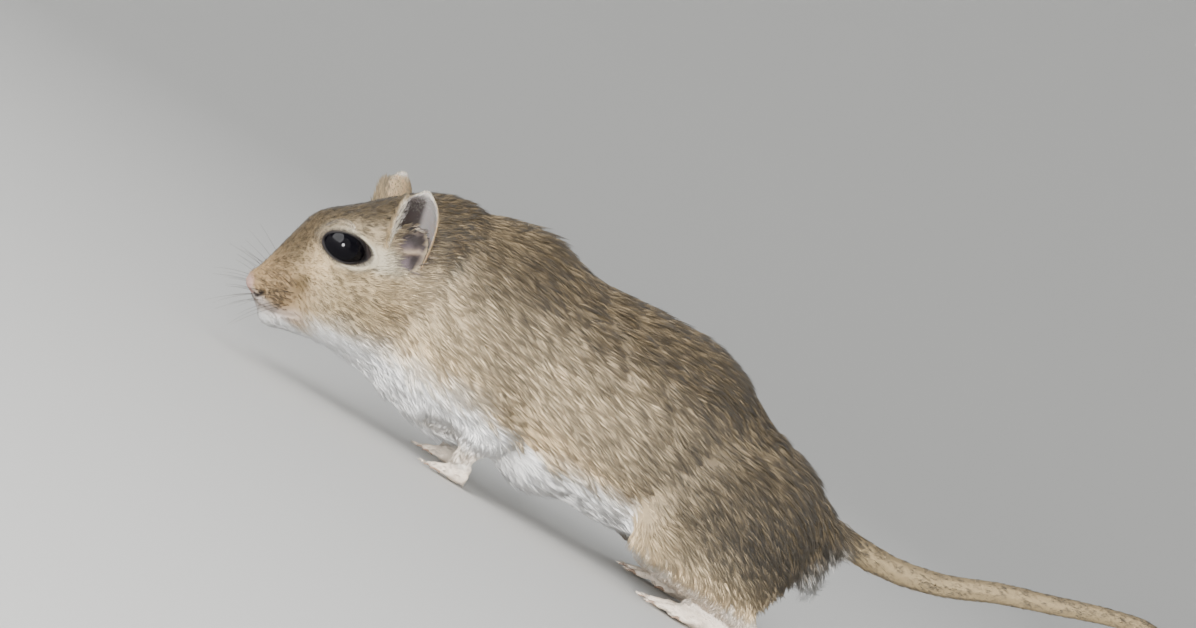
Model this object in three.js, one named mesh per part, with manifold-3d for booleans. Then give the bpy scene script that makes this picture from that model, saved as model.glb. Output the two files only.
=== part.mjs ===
// A life-size gerbil standing on all fours, head lowered and tail arched back to the floor.
// Millimetres, +Z up, floor at z = 0. The animal faces -X and its left side faces -Y.
// The flesh is one smooth field of rounded forms, sampled into a mesh for each named part and
// parted by thin cuts. Toes, claws, lids, ears, eyes and the tail's locks are lofted solids.

import * as THREE from 'three';
import { LoftGeometry } from 'three/addons/geometries/LoftGeometry.js';
import { mergeVertices } from 'three/addons/utils/BufferGeometryUtils.js';
import Module from 'manifold-3d';

const wasm = await Module();
wasm.setup();

// Driving dimensions of the animal, coat included
const GAP = 0.3; // between parts that meet face to face
const HEAD_YAW = 8; // degrees, the nose turned towards the left
const HEAD_PIVOT = new THREE.Vector3(-80, 0, 26);
const EYE_RADIUS = 3.9;
const EYE_CENTRE = new THREE.Vector3(-98, 5.4, 25.2);
const EAR_HEIGHT = 12.6;
const EAR_WIDTH = 7.6;
const EAR_THICKNESS = 0.8;
const HIND_FOOT_LENGTH = 27;
const FORE_PAW_LENGTH = 8.5;
const TAIL_ROOT_RADIUS = 3;
const TAIL_TIP_RADIUS = 1.5;

// Cell sizes at which the field is sampled
const HEAD_CELL = 1.55;
const BODY_CELL = 3;
const LIMB_CELL = 2.1;

const vec = (x, y, z) => new THREE.Vector3(x, y, z);
const radians = THREE.MathUtils.degToRad;

// Head frame: turned about the neck
const headTurn = new THREE.Matrix4()
  .makeTranslation(HEAD_PIVOT)
  .multiply(new THREE.Matrix4().makeRotationZ(radians(HEAD_YAW)))
  .multiply(new THREE.Matrix4().makeTranslation(HEAD_PIVOT.clone().negate()));
const headUnturn = headTurn.clone().invert();
const inHead = (point) => point.clone().applyMatrix4(headTurn);

// Field forms: each gives a signed distance, negative inside

// An ellipsoid whose long axis is pitched nose down by a few degrees.
function ellipsoid(centre, radii, pitch = 0) {
  const cos = Math.cos(radians(pitch));
  const sin = Math.sin(radians(pitch));
  return (p) => {
    const dx = p.x - centre.x;
    const dz = p.z - centre.z;
    const x = (dx * cos + dz * sin) / radii.x;
    const y = (p.y - centre.y) / radii.y;
    const z = (dz * cos - dx * sin) / radii.z;
    const reach = Math.hypot(x, y, z);
    const slope = Math.hypot(x / radii.x, y / radii.y, z / radii.z);
    return slope < 1e-9 ? -Math.min(radii.x, radii.y, radii.z) : (reach * (reach - 1)) / slope;
  };
}

// A tapering rod with round ends.
function roundCone(start, end, startRadius, endRadius) {
  const along = end.clone().sub(start);
  const lengthSquared = along.lengthSq();
  return (p) => {
    const t = THREE.MathUtils.clamp(
      ((p.x - start.x) * along.x + (p.y - start.y) * along.y + (p.z - start.z) * along.z) / lengthSquared, 0, 1);
    const x = p.x - start.x - along.x * t;
    const y = p.y - start.y - along.y * t;
    const z = p.z - start.z - along.z * t;
    return Math.hypot(x, y, z) - THREE.MathUtils.lerp(startRadius, endRadius, t);
  };
}

function smoothUnion(a, b, blend) {
  const h = Math.max(blend - Math.abs(a - b), 0) / blend;
  return Math.min(a, b) - (h * h * blend) / 4;
}

// Folds a list of forms into one field, each form softened into those before it.
function blended(forms) {
  return (p) => forms.reduce((sum, [form, blend]) => smoothUnion(sum, form(p), blend), 1e3);
}

const bothSides = (make) => [-1, 1].flatMap((side) => make(side));

// Head: skull, muzzle, jaw, cheeks and whisker pads, in the head's own frame
const headForms = blended([
  [ellipsoid(vec(-91.5, 0, 25.8), vec(14.5, 9.8, 9.4), 44), 1],
  [roundCone(vec(-105.4, 0, 12.6), vec(-98, 0, 23), 2.8, 7.2), 3],
  [roundCone(vec(-101, 0, 9), vec(-90, 0, 15.7), 3.2, 7), 2.5],
  ...bothSides((side) => [
    [ellipsoid(vec(-92, side * 5.2, 17.6), vec(8, 5, 7.6), 30), 4],
    [ellipsoid(vec(-103.6, side * 2.8, 11.8), vec(3.7, 2.6, 3.2), 40), 1.6],
    [ellipsoid(vec(-96.4, side * 5.4, 27.4), vec(5, 3, 3.4), 44), 3],
    [ellipsoid(vec(-87.5, side * 6.8, 31), vec(4.6, 3.4, 4.6), 10), 3],
  ]),
  [ellipsoid(vec(-107, 0, 11.6), vec(1.4, 1.9, 1.7), 0), 1.4],
]);

// Neck, trunk and rump along the midline, and the muscle of the limbs at each side
const bodyForms = blended([
  [ellipsoid(vec(-80, 0, 24.8), vec(13, 11.6, 17.4), 8), 1],
  [ellipsoid(vec(-67, 0, 25.2), vec(18, 14.4, 20.6), 0), 6],
  [ellipsoid(vec(-48, 0, 24.8), vec(20, 15.8, 19), 0), 6],
  [ellipsoid(vec(-33, 0, 25.4), vec(20, 17, 19.2), 0), 6],
  [ellipsoid(vec(-14, 0, 20.9), vec(17, 15.4, 16.1), -12), 6],
  [roundCone(vec(-4, 0, 24.4), vec(8.5, 0, 26.4), 7.8, TAIL_ROOT_RADIUS - 0.2), 5],
  [ellipsoid(vec(2.4, 0, 18.4), vec(5.6, 7.5, 5), -25), 3],
  [ellipsoid(vec(-49, 0, 10), vec(7, 10, 5.6), 0), 3],
  ...bothSides((side) => [
    [ellipsoid(vec(-68, side * 9, 19), vec(9, 5.6, 10), -25), 4],
    [roundCone(vec(-65, side * 9.8, 15.5), vec(-59, side * 10.8, 11.5), 5.2, 4.2), 3],
    [roundCone(vec(-58.6, side * 10.8, 11.2), vec(-60.4, side * 10, 4.6), 3.7, 2.2), 2.2],
    [ellipsoid(vec(-14, side * 11.6, 17.8), vec(14.8, 7.8, 14), -20), 4],
    [roundCone(vec(-23.5, side * 14, 10.2), vec(-4.6, side * 13, 5.8), 5.6, 3), 3],
    [roundCone(vec(-4.6, side * 13, 5.8), vec(-0.4, side * 12.6, 3.4), 3, 2.5), 1.5],
  ]),
]);

const HEAD_BLEND = 6; // how softly the head flows into the neck

// The whole animal's field, without feet, ears and tail. Grow is how far its surface is moved out.
function flesh(grow = 0) {
  const turned = vec(0, 0, 0);
  return (p) => {
    turned.copy(p).applyMatrix4(headUnturn);
    return smoothUnion(headForms(turned), bodyForms(p), HEAD_BLEND) - grow;
  };
}

// Solids

function solidFrom(geometry) {
  const bare = new THREE.BufferGeometry().setAttribute('position', geometry.getAttribute('position').clone());
  bare.setIndex(geometry.index);
  const merged = mergeVertices(bare, 1e-4);
  const solid = new wasm.Manifold(new wasm.Mesh({
    numProp: 3,
    vertProperties: new Float32Array(merged.attributes.position.array),
    triVerts: new Uint32Array(merged.index.array),
  }));
  return solid.volume() < 0 ? reversed(merged) : solid;
}

function reversed(merged) {
  const triVerts = new Uint32Array(merged.index.array);
  for (let i = 0; i < triVerts.length; i += 3) [triVerts[i + 1], triVerts[i + 2]] = [triVerts[i + 2], triVerts[i + 1]];
  return new wasm.Manifold(new wasm.Mesh({
    numProp: 3,
    vertProperties: new Float32Array(merged.attributes.position.array),
    triVerts,
  }));
}

// Samples a field inside a box of cells: one vertex in each cell that the surface crosses, drawn onto
// the surface, and one quad round each grid edge that crosses it.
function sampled(field, low, high, cell) {
  const count = high.clone().sub(low).divide(cell).ceil();
  const [nx, ny, nz] = [count.x + 1, count.y + 1, count.z + 1];
  const at = (i, j, k) => i + nx * (j + ny * k);
  const corner = (i, j, k) => vec(low.x + i * cell.x, low.y + j * cell.y, low.z + k * cell.z);
  const values = new Float64Array(nx * ny * nz);
  for (let k = 0; k < nz; k++) {
    for (let j = 0; j < ny; j++) {
      for (let i = 0; i < nx; i++) {
        const edge = i === 0 || j === 0 || k === 0 || i === nx - 1 || j === ny - 1 || k === nz - 1;
        const value = field(corner(i, j, k));
        values[at(i, j, k)] = edge ? Math.max(value, 1e-3) : value || 1e-9;
      }
    }
  }
  const positions = [];
  const vertexOf = new Map();
  for (let k = 0; k < nz - 1; k++) {
    for (let j = 0; j < ny - 1; j++) {
      for (let i = 0; i < nx - 1; i++) {
        const middle = crossing(values, at, corner, i, j, k);
        if (!middle) continue;
        vertexOf.set(at(i, j, k), positions.length / 3);
        const inner = i > 1 && j > 1 && k > 1 && i < nx - 3 && j < ny - 3 && k < nz - 3;
        positions.push(...(inner ? settled(field, middle, cell) : middle).toArray());
      }
    }
  }
  const index = [];
  const quad = (a, b, c, d, flip) => {
    const [p, q, r, s] = [a, b, c, d].map((cellIndex) => vertexOf.get(cellIndex));
    const ring = flip ? [p, s, r, q] : [p, q, r, s];
    const [u, v, w, x] = ring.map((n) => vec(...positions.slice(3 * n, 3 * n + 3)));
    const split = u.distanceTo(w) < v.distanceTo(x);
    index.push(...(split
      ? [ring[0], ring[1], ring[2], ring[0], ring[2], ring[3]]
      : [ring[0], ring[1], ring[3], ring[1], ring[2], ring[3]]));
  };
  for (let k = 0; k < nz - 1; k++) {
    for (let j = 0; j < ny - 1; j++) {
      for (let i = 0; i < nx - 1; i++) {
        const solid = values[at(i, j, k)] < 0;
        if (j > 0 && k > 0 && solid !== values[at(i + 1, j, k)] < 0) {
          quad(at(i, j - 1, k - 1), at(i, j, k - 1), at(i, j, k), at(i, j - 1, k), !solid);
        }
        if (i > 0 && k > 0 && solid !== values[at(i, j + 1, k)] < 0) {
          quad(at(i - 1, j, k - 1), at(i - 1, j, k), at(i, j, k), at(i, j, k - 1), !solid);
        }
        if (i > 0 && j > 0 && solid !== values[at(i, j, k + 1)] < 0) {
          quad(at(i - 1, j - 1, k), at(i, j - 1, k), at(i, j, k), at(i - 1, j, k), !solid);
        }
      }
    }
  }
  const geometry = new THREE.BufferGeometry();
  geometry.setAttribute('position', new THREE.Float32BufferAttribute(positions, 3));
  geometry.setIndex(index);
  return solidFrom(geometry);
}

// The mean of the points where the surface crosses a cell's twelve edges, or null where it crosses none.
function crossing(values, at, corner, i, j, k) {
  const sum = vec(0, 0, 0);
  let hits = 0;
  for (let n = 0; n < 8; n++) {
    const [a, b, c] = [n & 1, (n >> 1) & 1, (n >> 2) & 1];
    for (const [u, v, w] of [[1, 0, 0], [0, 1, 0], [0, 0, 1]]) {
      if ((u && a) || (v && b) || (w && c)) continue;
      const from = values[at(i + a, j + b, k + c)];
      const to = values[at(i + a + u, j + b + v, k + c + w)];
      if (from < 0 === to < 0) continue;
      sum.add(corner(i + a, j + b, k + c).lerp(corner(i + a + u, j + b + v, k + c + w), from / (from - to)));
      hits += 1;
    }
  }
  return hits ? sum.divideScalar(hits) : null;
}

// Draws a point onto the surface along the field's slope, by no more than part of a cell.
function settled(field, start, cell) {
  const step = 0.05;
  const point = start.clone();
  for (let round = 0; round < 3; round++) {
    const here = field(point);
    const slope = vec(
      field(point.clone().setX(point.x + step)) - here,
      field(point.clone().setY(point.y + step)) - here,
      field(point.clone().setZ(point.z + step)) - here,
    ).divideScalar(step);
    point.addScaledVector(slope, -here / Math.max(slope.lengthSq(), 0.2));
  }
  const limit = 0.45 * Math.min(cell.x, cell.y, cell.z);
  return start.clone().add(point.sub(start).clampLength(0, limit));
}

const cube = (size) => vec(size, size, size);

// Keeps what lies on the side that the normal points to.
const trimmed = (solid, normal, point) => solid.trimByPlane(normal.toArray(), normal.dot(point));

// A closed loft through rings of points.
const lofted = (rings) => solidFrom(new LoftGeometry(rings, { capStart: true, capEnd: true }));

// A ring of points round a centre, across the direction given.
function ring(centre, along, width, height, sides) {
  const side = vec(0, 0, 1).cross(along);
  if (side.lengthSq() < 1e-6) side.set(0, 1, 0);
  side.normalize();
  const up = along.clone().cross(side).normalize();
  return Array.from({ length: sides }, (_, n) => {
    const angle = (n / sides) * 2 * Math.PI;
    return centre.clone().addScaledVector(side, width * Math.cos(angle)).addScaledVector(up, height * Math.sin(angle));
  });
}

// A tapering tube along a curve, with the radius given as a function of the share of its length.
function tube(points, radiusAt, steps, sides, flatten = 1) {
  const curve = new THREE.CatmullRomCurve3(points, false, 'centripetal');
  return lofted(Array.from({ length: steps + 1 }, (_, n) => {
    const share = n / steps;
    const radius = radiusAt(share);
    return ring(curve.getPointAt(share), curve.getTangentAt(share), radius, radius * flatten, sides);
  }));
}

// The largest closed surface of a solid, without loose scraps.
function largest(solid) {
  return solid.decompose().reduce((best, piece) => (piece.volume() > best.volume() ? piece : best));
}

// An elliptical drum along Y that takes in a limb's muscle on one side, from an inner depth outwards.
function limbDrum({ x, z, rx, rz, pitch, inner, side, grow = 0 }) {
  const depth = 40;
  const drum = new THREE.CylinderGeometry(1, 1, depth + grow, 40);
  drum.scale(rx + grow, 1, rz + grow);
  drum.rotateY(radians(pitch));
  drum.translate(x, side * (inner - grow + (depth + grow) / 2), z);
  return solidFrom(drum);
}

// Finishes

const coat = (color, roughness = 0.85) => new THREE.MeshStandardMaterial({ color, roughness, metalness: 0 });
const FUR = coat(0xa89274);
const PALE_FUR = coat(0xe4ddcf);
const SKIN = coat(0xd8b6a6, 0.6);
const EYE = coat(0x07070a, 0.08);
const BRUSH = coat(0x5b4d3d);

const gerbil = new THREE.Group();

function addNode(name, solid, material) {
  const { vertProperties, triVerts, numProp } = solid.getMesh();
  const positions = new Float32Array((vertProperties.length / numProp) * 3);
  for (let n = 0; n < positions.length / 3; n++) positions.set(vertProperties.subarray(n * numProp, n * numProp + 3), n * 3);
  const geometry = new THREE.BufferGeometry();
  geometry.setAttribute('position', new THREE.BufferAttribute(positions, 3));
  geometry.setIndex(new THREE.BufferAttribute(new Uint32Array(triVerts), 1));
  const mesh = new THREE.Mesh(geometry, material);
  mesh.name = name;
  gerbil.add(mesh);
}

const sideName = (side) => (side < 0 ? 'left' : 'right');

// Cuts between head, neck, trunk and tail
const NAPE_CUT = { point: vec(-82.5, 0, 28), normal: vec(-1, -0.14, 0.15).normalize() };
const SHOULDER_CUT = { point: vec(-74, 0, 25), normal: vec(-1, 0, 0.1).normalize() };
const TAIL_CUT = { point: vec(8, 0, 25), normal: vec(-1, 0, -0.05).normalize() };

const ahead = (solid, cut) => trimmed(solid, cut.normal, cut.point.clone().addScaledVector(cut.normal, GAP / 2));
const behind = (solid, cut) =>
  trimmed(solid, cut.normal.clone().negate(), cut.point.clone().addScaledVector(cut.normal, -GAP / 2));

// Limb muscles, cut out of the trunk as drums, and where each is parted again
const HAUNCH = { x: -13.5, z: 14.5, rx: 16.4, rz: 17, pitch: 20, inner: 9.4 };
const FORELEG = { x: -63.5, z: 10, rx: 8.6, rz: 12.5, pitch: 0, inner: 5.2 };
const KNEE_LEVEL = 9.2;
const ANKLE_LEVEL = 4.6;
const WRIST_LEVEL = 3.9;
const ELBOW_LEVEL = 9.6;

const up = vec(0, 0, 1);
const down = vec(0, 0, -1);
const atLevel = (z) => vec(0, 0, z);

// Eyes, lids and ears

const eyeCentre = (side) => inHead(vec(EYE_CENTRE.x, side * EYE_CENTRE.y, EYE_CENTRE.z));

function eyeball(side, grow = 0) {
  const ball = new THREE.SphereGeometry(EYE_RADIUS + grow, 18, 10);
  ball.translate(...eyeCentre(side).toArray());
  return solidFrom(ball);
}

// How far out the head's surface lies at a point of its side view.
function headHalfWidth(x, z) {
  let inner = 0;
  let outer = 16;
  for (let round = 0; round < 20; round++) {
    const middle = (inner + outer) / 2;
    if (headForms(vec(x, middle, z)) < 0) inner = middle;
    else outer = middle;
  }
  return inner;
}

// The raised rim of the lids: an almond laid on the head round the eye, pointed at its back corner.
const LID_LENGTH = 8.6;
const LID_HEIGHT = 6.6;
const LID_THICKNESS = 0.62;
const LID_TILT = 6; // degrees, the front corner lower

function lidRim(side) {
  const steps = 22;
  const path = Array.from({ length: steps }, (_, n) => {
    const angle = (n / steps) * 2 * Math.PI;
    const corner = Math.max(Math.cos(angle), 0) ** 8;
    const along = (LID_LENGTH / 2) * Math.cos(angle) + 0.7 * corner;
    const across = (LID_HEIGHT / 2) * Math.sin(angle) - 0.6 * corner;
    const tilt = radians(LID_TILT);
    const x = EYE_CENTRE.x + along * Math.cos(tilt) - across * Math.sin(tilt);
    const z = EYE_CENTRE.z + along * Math.sin(tilt) + across * Math.cos(tilt);
    return vec(x, side * (headHalfWidth(x, z) + 0.1), z);
  });
  const curve = new THREE.CatmullRomCurve3(path.map(inHead), true);
  const section = (n) => ring(
    curve.getPointAt(n / steps), curve.getTangentAt(n / steps), LID_THICKNESS, LID_THICKNESS, 5);
  const sections = Array.from({ length: steps + 1 }, (_, n) => section(n % steps));
  return solidFrom(new LoftGeometry(sections));
}

// One ear: a leaf rolled into a deep cup at its root, opening outwards and a little back.
function ear(side) {
  const rows = 8;
  const columns = 9;
  const base = vec(-89.2, side * 8, 29.2);
  const lean = vec(-0.19, side * 0.33, 0.92).normalize();
  const facing = vec(0.3, side * 0.95, 0);
  facing.addScaledVector(lean, -facing.dot(lean)).normalize();
  const across = lean.clone().cross(facing).normalize();
  const leaf = (u, v, outside) => {
    const profile = Math.sqrt(Math.max(1 - ((v - 0.5) / 0.51) ** 2, 0.03));
    const halfWidth = (EAR_WIDTH / 2) * Math.max(profile, v < 0.5 ? 0.86 : 0);
    const roll = 1.15 + 0.75 * (1 - v);
    const radius = halfWidth / Math.sin(Math.min(roll, Math.PI / 2));
    const offset = outside * EAR_THICKNESS * (1.4 - 0.7 * v) * (1 - 0.3 * Math.abs(u));
    const reach = radius + offset;
    return base.clone()
      .addScaledVector(lean, EAR_HEIGHT * v * (1 - 0.05 * u * u) - 1.2)
      .addScaledVector(across, reach * Math.sin(u * roll))
      .addScaledVector(facing, radius - reach * Math.cos(u * roll) - 2.2 + 1.2 * v * v);
  };
  const strip = (v, outside, direction) => Array.from(
    { length: columns }, (_, n) => leaf(direction * (-1 + (2 * n) / (columns - 1)), v, outside));
  const rings = Array.from({ length: rows }, (_, row) => {
    const v = row / (rows - 1);
    return [...strip(v, -0.5, 1), ...strip(v, 0.5, -1)].map(inHead);
  });
  return lofted(rings);
}

// Nostrils and the line of the mouth, as thin tapering cutters

function nostril(side) {
  const path = [vec(-108.2, side * 2, 10), vec(-107.2, side * 1.4, 10.9), vec(-105.6, side * 0.9, 11.4)];
  return tube(path.map(inHead), (share) => 0.62 - 0.35 * share, 4, 6);
}

function mouthLine(side) {
  const path = [vec(-105.9, side * 0.1, 8.4), vec(-104.3, side * 1.8, 7.8), vec(-102, side * 3.2, 8.5),
    vec(-99.6, side * 4.5, 9.8)];
  return tube(path.map(inHead), (share) => 0.5 - 0.3 * share, 8, 5);
}

function philtrum() {
  const path = [vec(-108.1, 0, 10.9), vec(-107.5, 0, 9.6), vec(-105.8, 0, 8.4)];
  return tube(path.map(inHead), () => 0.3, 4, 5);
}

// Feet

// Toes spread from a palm: each is a tapering arch that comes down to a flat pad, drawn out into its claw.
const TOE_RADIUS = 0.85;
const CLAW_RADIUS = 0.4;
const CLAW_LENGTH = 1.9;
const TOE_SIDES = 6;

function toe(root, heading, length, arch) {
  const aim = vec(-Math.cos(radians(heading)), Math.sin(radians(heading)), 0);
  const reach = (distance, z) => root.clone().addScaledVector(aim, distance).setZ(z);
  const path = [
    { centre: root, radius: TOE_RADIUS * 1.25 },
    { centre: reach(length * 0.4, arch), radius: TOE_RADIUS * 1.1 },
    { centre: reach(length * 0.8, TOE_RADIUS + 0.15), radius: TOE_RADIUS },
    { centre: reach(length, TOE_RADIUS), radius: TOE_RADIUS * 0.85 },
    { centre: reach(length + 0.3, TOE_RADIUS + 0.15), radius: CLAW_RADIUS },
    { centre: reach(length + CLAW_LENGTH, 0.45), radius: 0.14 },
  ];
  return lofted(path.map(({ centre, radius }) => ring(centre, aim, radius, radius, TOE_SIDES)));
}

// Hind foot: a long sole from the heel to five toes, the middle three longest.
function hindFoot(side) {
  const y = 12.6 * side;
  const heel = vec(2.2, y, 2.3);
  const sole = tube(
    [heel, vec(-3, y + side * 0.6, 2.3), vec(-9, y + side * 1.4, 1.9), vec(-14.5, y + side * 1.9, 1.5)],
    (share) => 2.4 - 0.2 * share, 5, 8, 0.8);
  const ankle = tube([vec(-1.6, side * 12.9, 6.5), vec(-0.4, side * 12.6, 2.4)], () => 2.5, 2, 8);
  const toes = [
    { x: -9.5, across: -0.3, heading: 14, share: 0.14 },
    { x: -13.2, across: 0, heading: 6, share: 0.22 },
    { x: -13.8, across: 1.7, heading: 0, share: 0.24 },
    { x: -13.2, across: 3.4, heading: -7, share: 0.22 },
    { x: -10, across: 3.6, heading: -16, share: 0.16 },
  ].map((one) => toe(
    vec(one.x, y + side * one.across, 1.5), -side * one.heading, HIND_FOOT_LENGTH * one.share, 1.7));
  return [sole, ankle, ...toes];
}

// Forepaw: a small palm under the wrist and four spread fingers.
function forePaw(side) {
  const y = 10 * side;
  const palm = tube([vec(-57.6, y, 2), vec(-59.6, y, 1.9), vec(-61.6, y, 1.6)],
    (share) => 1.9 + 0.5 * Math.sin(Math.PI * share) - 0.2 * share, 4, 8, 0.8);
  const wrist = tube([vec(-58.8, y, 6), vec(-59.6, y, 2.2)], () => 1.9, 2, 8);
  const fingers = [-24, -8, 8, 25].map((heading, n) => toe(
    vec(-60.6 - 0.6 * Math.sin((Math.PI * n) / 3), y + side * (n - 1.5) * 1.2, 1.3),
    -side * heading, FORE_PAW_LENGTH * (0.32 + 0.08 * Math.sin((Math.PI * n) / 3)), 1.5));
  return [palm, wrist, ...fingers];
}

// Fuses a foot's pieces and makes its sole flat at the floor.
function fusedFoot(pieces, level) {
  const whole = pieces.reduce((sum, piece) => sum.add(piece));
  return largest(trimmed(trimmed(whole, up, atLevel(0)), down, atLevel(level - GAP / 2)));
}

// Tail: straight back from the rump, arched, then down until its brush lies on the floor

const TAIL_PATH = [
  vec(5, 0, 26), vec(12, 0, 26), vec(18, 0, 26.2), vec(27, -0.3, 28.3), vec(36.7, -0.7, 32.4), vec(46.6, -1, 35.8),
  vec(56, -1, 39), vec(64, -0.7, 40.8), vec(72, 0, 38.8), vec(79, 1.2, 32.2), vec(84, 2.4, 23), vec(88, 3.6, 13.5),
  vec(93, 4.6, 6.4), vec(101, 5, 3),
];
const tailCurve = new THREE.CatmullRomCurve3(TAIL_PATH, false, 'centripetal');
const TAIL_SPLITS = [0, 0.34, 0.67, 1];
const TAIL_NAMES = ['tail_base', 'tail_middle', 'tail_tip'];

function tailRadius(share) {
  const taper = THREE.MathUtils.lerp(TAIL_ROOT_RADIUS, TAIL_TIP_RADIUS, Math.min(share / 0.75, 1));
  const brush = 0.75 * Math.exp(-(((share - 0.9) / 0.09) ** 2));
  const end = Math.sqrt(Math.max(1 - Math.max((share - 0.9) / 0.1, 0) ** 2, 0));
  return Math.max((taper + brush) * end, 0.25);
}

function tailLength(from, to) {
  const steps = Math.round((to - from) * 48);
  const sides = 8;
  const rings = Array.from({ length: steps + 1 }, (_, n) => {
    const share = THREE.MathUtils.lerp(from, to, n / steps);
    const radius = tailRadius(share);
    return ring(tailCurve.getPointAt(share), tailCurve.getTangentAt(share), radius, radius, sides);
  });
  return trimmed(lofted(rings), up, atLevel(0));
}

// Assembly

const whole = flesh();
const headBox = { low: vec(-112, -18, 1), high: vec(-74, 16, 48) };
const bodyBox = { low: vec(-92, -26, -2), high: vec(20, 26, 52) };
const headMesh = sampled(whole, headBox.low, headBox.high, cube(HEAD_CELL));
const grownHead = sampled(flesh(GAP), headBox.low, headBox.high, cube(HEAD_CELL));
const bodyMesh = sampled(whole, bodyBox.low, bodyBox.high, cube(BODY_CELL));
const limbMesh = sampled(whole, vec(-76, -26, -2), vec(10, 26, 40), cube(LIMB_CELL));

let head = ahead(headMesh, NAPE_CUT);
for (const side of [-1, 1]) {
  head = head.add(lidRim(side)).subtract(eyeball(side, GAP)).subtract(nostril(side)).subtract(mouthLine(side));
  addNode(`eye_${sideName(side)}`, eyeball(side), EYE);
  addNode(`ear_${sideName(side)}`, largest(ear(side).subtract(grownHead)), SKIN);
}
addNode('head', largest(head.subtract(philtrum())), FUR);

addNode('neck', ahead(behind(bodyMesh, NAPE_CUT), SHOULDER_CUT), FUR);

let torso = ahead(behind(bodyMesh, SHOULDER_CUT), { point: TAIL_CUT.point, normal: TAIL_CUT.normal });
for (const side of [-1, 1]) {
  torso = torso.subtract(limbDrum({ ...HAUNCH, side, grow: GAP })).subtract(limbDrum({ ...FORELEG, side, grow: GAP }));
}
addNode('torso', largest(torso), FUR);

for (const side of [-1, 1]) {
  const name = sideName(side);
  const haunch = limbMesh.intersect(limbDrum({ ...HAUNCH, side }));
  addNode(`thigh_${name}`, largest(trimmed(haunch, up, atLevel(KNEE_LEVEL + GAP / 2))), FUR);
  const shank = trimmed(trimmed(haunch, down, atLevel(KNEE_LEVEL - GAP / 2)), up, atLevel(ANKLE_LEVEL + GAP / 2));
  addNode(`shank_${name}`, largest(shank), FUR);
  const foreleg = behind(limbMesh.intersect(limbDrum({ ...FORELEG, side })), SHOULDER_CUT);
  addNode(`upper_arm_${name}`, largest(trimmed(foreleg, up, atLevel(ELBOW_LEVEL + GAP / 2))), FUR);
  const forearm = trimmed(trimmed(foreleg, down, atLevel(ELBOW_LEVEL - GAP / 2)), up, atLevel(WRIST_LEVEL + GAP / 2));
  addNode(`forearm_${name}`, largest(forearm), FUR);
  addNode(`hind_foot_${name}`, fusedFoot(hindFoot(side), ANKLE_LEVEL), PALE_FUR);
  addNode(`forepaw_${name}`, fusedFoot(forePaw(side), WRIST_LEVEL), PALE_FUR);
}

TAIL_NAMES.forEach((name, n) => {
  const half = GAP / 2 / tailCurve.getLength();
  const from = n === 0 ? 0 : TAIL_SPLITS[n] + half;
  const to = n === TAIL_NAMES.length - 1 ? 1 : TAIL_SPLITS[n + 1] - half;
  const length = tailLength(from, to);
  addNode(name, n === 0 ? largest(behind(length, TAIL_CUT)) : length, n === 2 ? BRUSH : FUR);
});

// The origin goes to the middle of the part's box, at the floor
const box = new THREE.Box3().setFromObject(gerbil);
const middle = box.getCenter(vec(0, 0, 0));
gerbil.position.set(-middle.x, -middle.y, -box.min.z);

export default gerbil;
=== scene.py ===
"""A life-size gerbil: skin, lids, eyes, ears, claws, whiskers and a coat of solid tufts.

Sizes are in millimetres in the animal's own axes: -X to the nose, -Y to its left, +Z up from
the floor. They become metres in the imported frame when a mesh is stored.
"""

import logging
import math
from collections.abc import Sequence
from dataclasses import dataclass, field, replace
from enum import Enum

import bmesh
import bpy
import numpy as np
from mathutils import Matrix, Vector, bvhtree, kdtree


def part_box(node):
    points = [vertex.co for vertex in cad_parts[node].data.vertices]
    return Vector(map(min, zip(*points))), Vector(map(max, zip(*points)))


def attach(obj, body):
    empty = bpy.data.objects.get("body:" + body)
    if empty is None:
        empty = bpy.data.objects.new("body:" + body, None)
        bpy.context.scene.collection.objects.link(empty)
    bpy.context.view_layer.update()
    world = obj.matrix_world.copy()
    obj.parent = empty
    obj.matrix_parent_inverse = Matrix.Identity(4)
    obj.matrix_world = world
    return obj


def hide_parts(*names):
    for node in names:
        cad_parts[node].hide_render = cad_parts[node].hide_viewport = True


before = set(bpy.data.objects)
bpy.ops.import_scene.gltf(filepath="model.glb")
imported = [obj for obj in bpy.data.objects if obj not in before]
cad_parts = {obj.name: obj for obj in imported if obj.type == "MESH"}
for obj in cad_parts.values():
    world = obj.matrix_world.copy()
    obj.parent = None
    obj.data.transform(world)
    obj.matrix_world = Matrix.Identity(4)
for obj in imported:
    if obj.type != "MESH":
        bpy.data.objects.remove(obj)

log = logging.getLogger("gerbil")

METRES_PER_MM = 0.001
PHOTO_WIDTH = 1196
PHOTO_HEIGHT = 628

Array = np.ndarray


class Side(Enum):
    """A side of the animal, with the sign of its Y axis."""

    LEFT = -1
    RIGHT = 1

    @property
    def label(self) -> str:
        """The side's name in node and piece names."""
        return self.name.lower()


class Region(Enum):
    """A stretch of skin with a coat of its own."""

    HEAD = 0
    NECK = 1
    TRUNK = 2
    THIGH = 3
    LIMB = 4
    FOOT = 5
    TAIL = 6


FLESH_NODES: dict[str, Region] = {
    "head": Region.HEAD,
    "neck": Region.NECK,
    "torso": Region.TRUNK,
    "tail_base": Region.TAIL,
    "tail_middle": Region.TAIL,
    "tail_tip": Region.TAIL,
}
for _side in Side:
    FLESH_NODES[f"thigh_{_side.label}"] = Region.THIGH
    FLESH_NODES[f"upper_arm_{_side.label}"] = Region.THIGH
    FLESH_NODES[f"shank_{_side.label}"] = Region.LIMB
    FLESH_NODES[f"forearm_{_side.label}"] = Region.LIMB
    FLESH_NODES[f"hind_foot_{_side.label}"] = Region.FOOT
    FLESH_NODES[f"forepaw_{_side.label}"] = Region.FOOT


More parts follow.
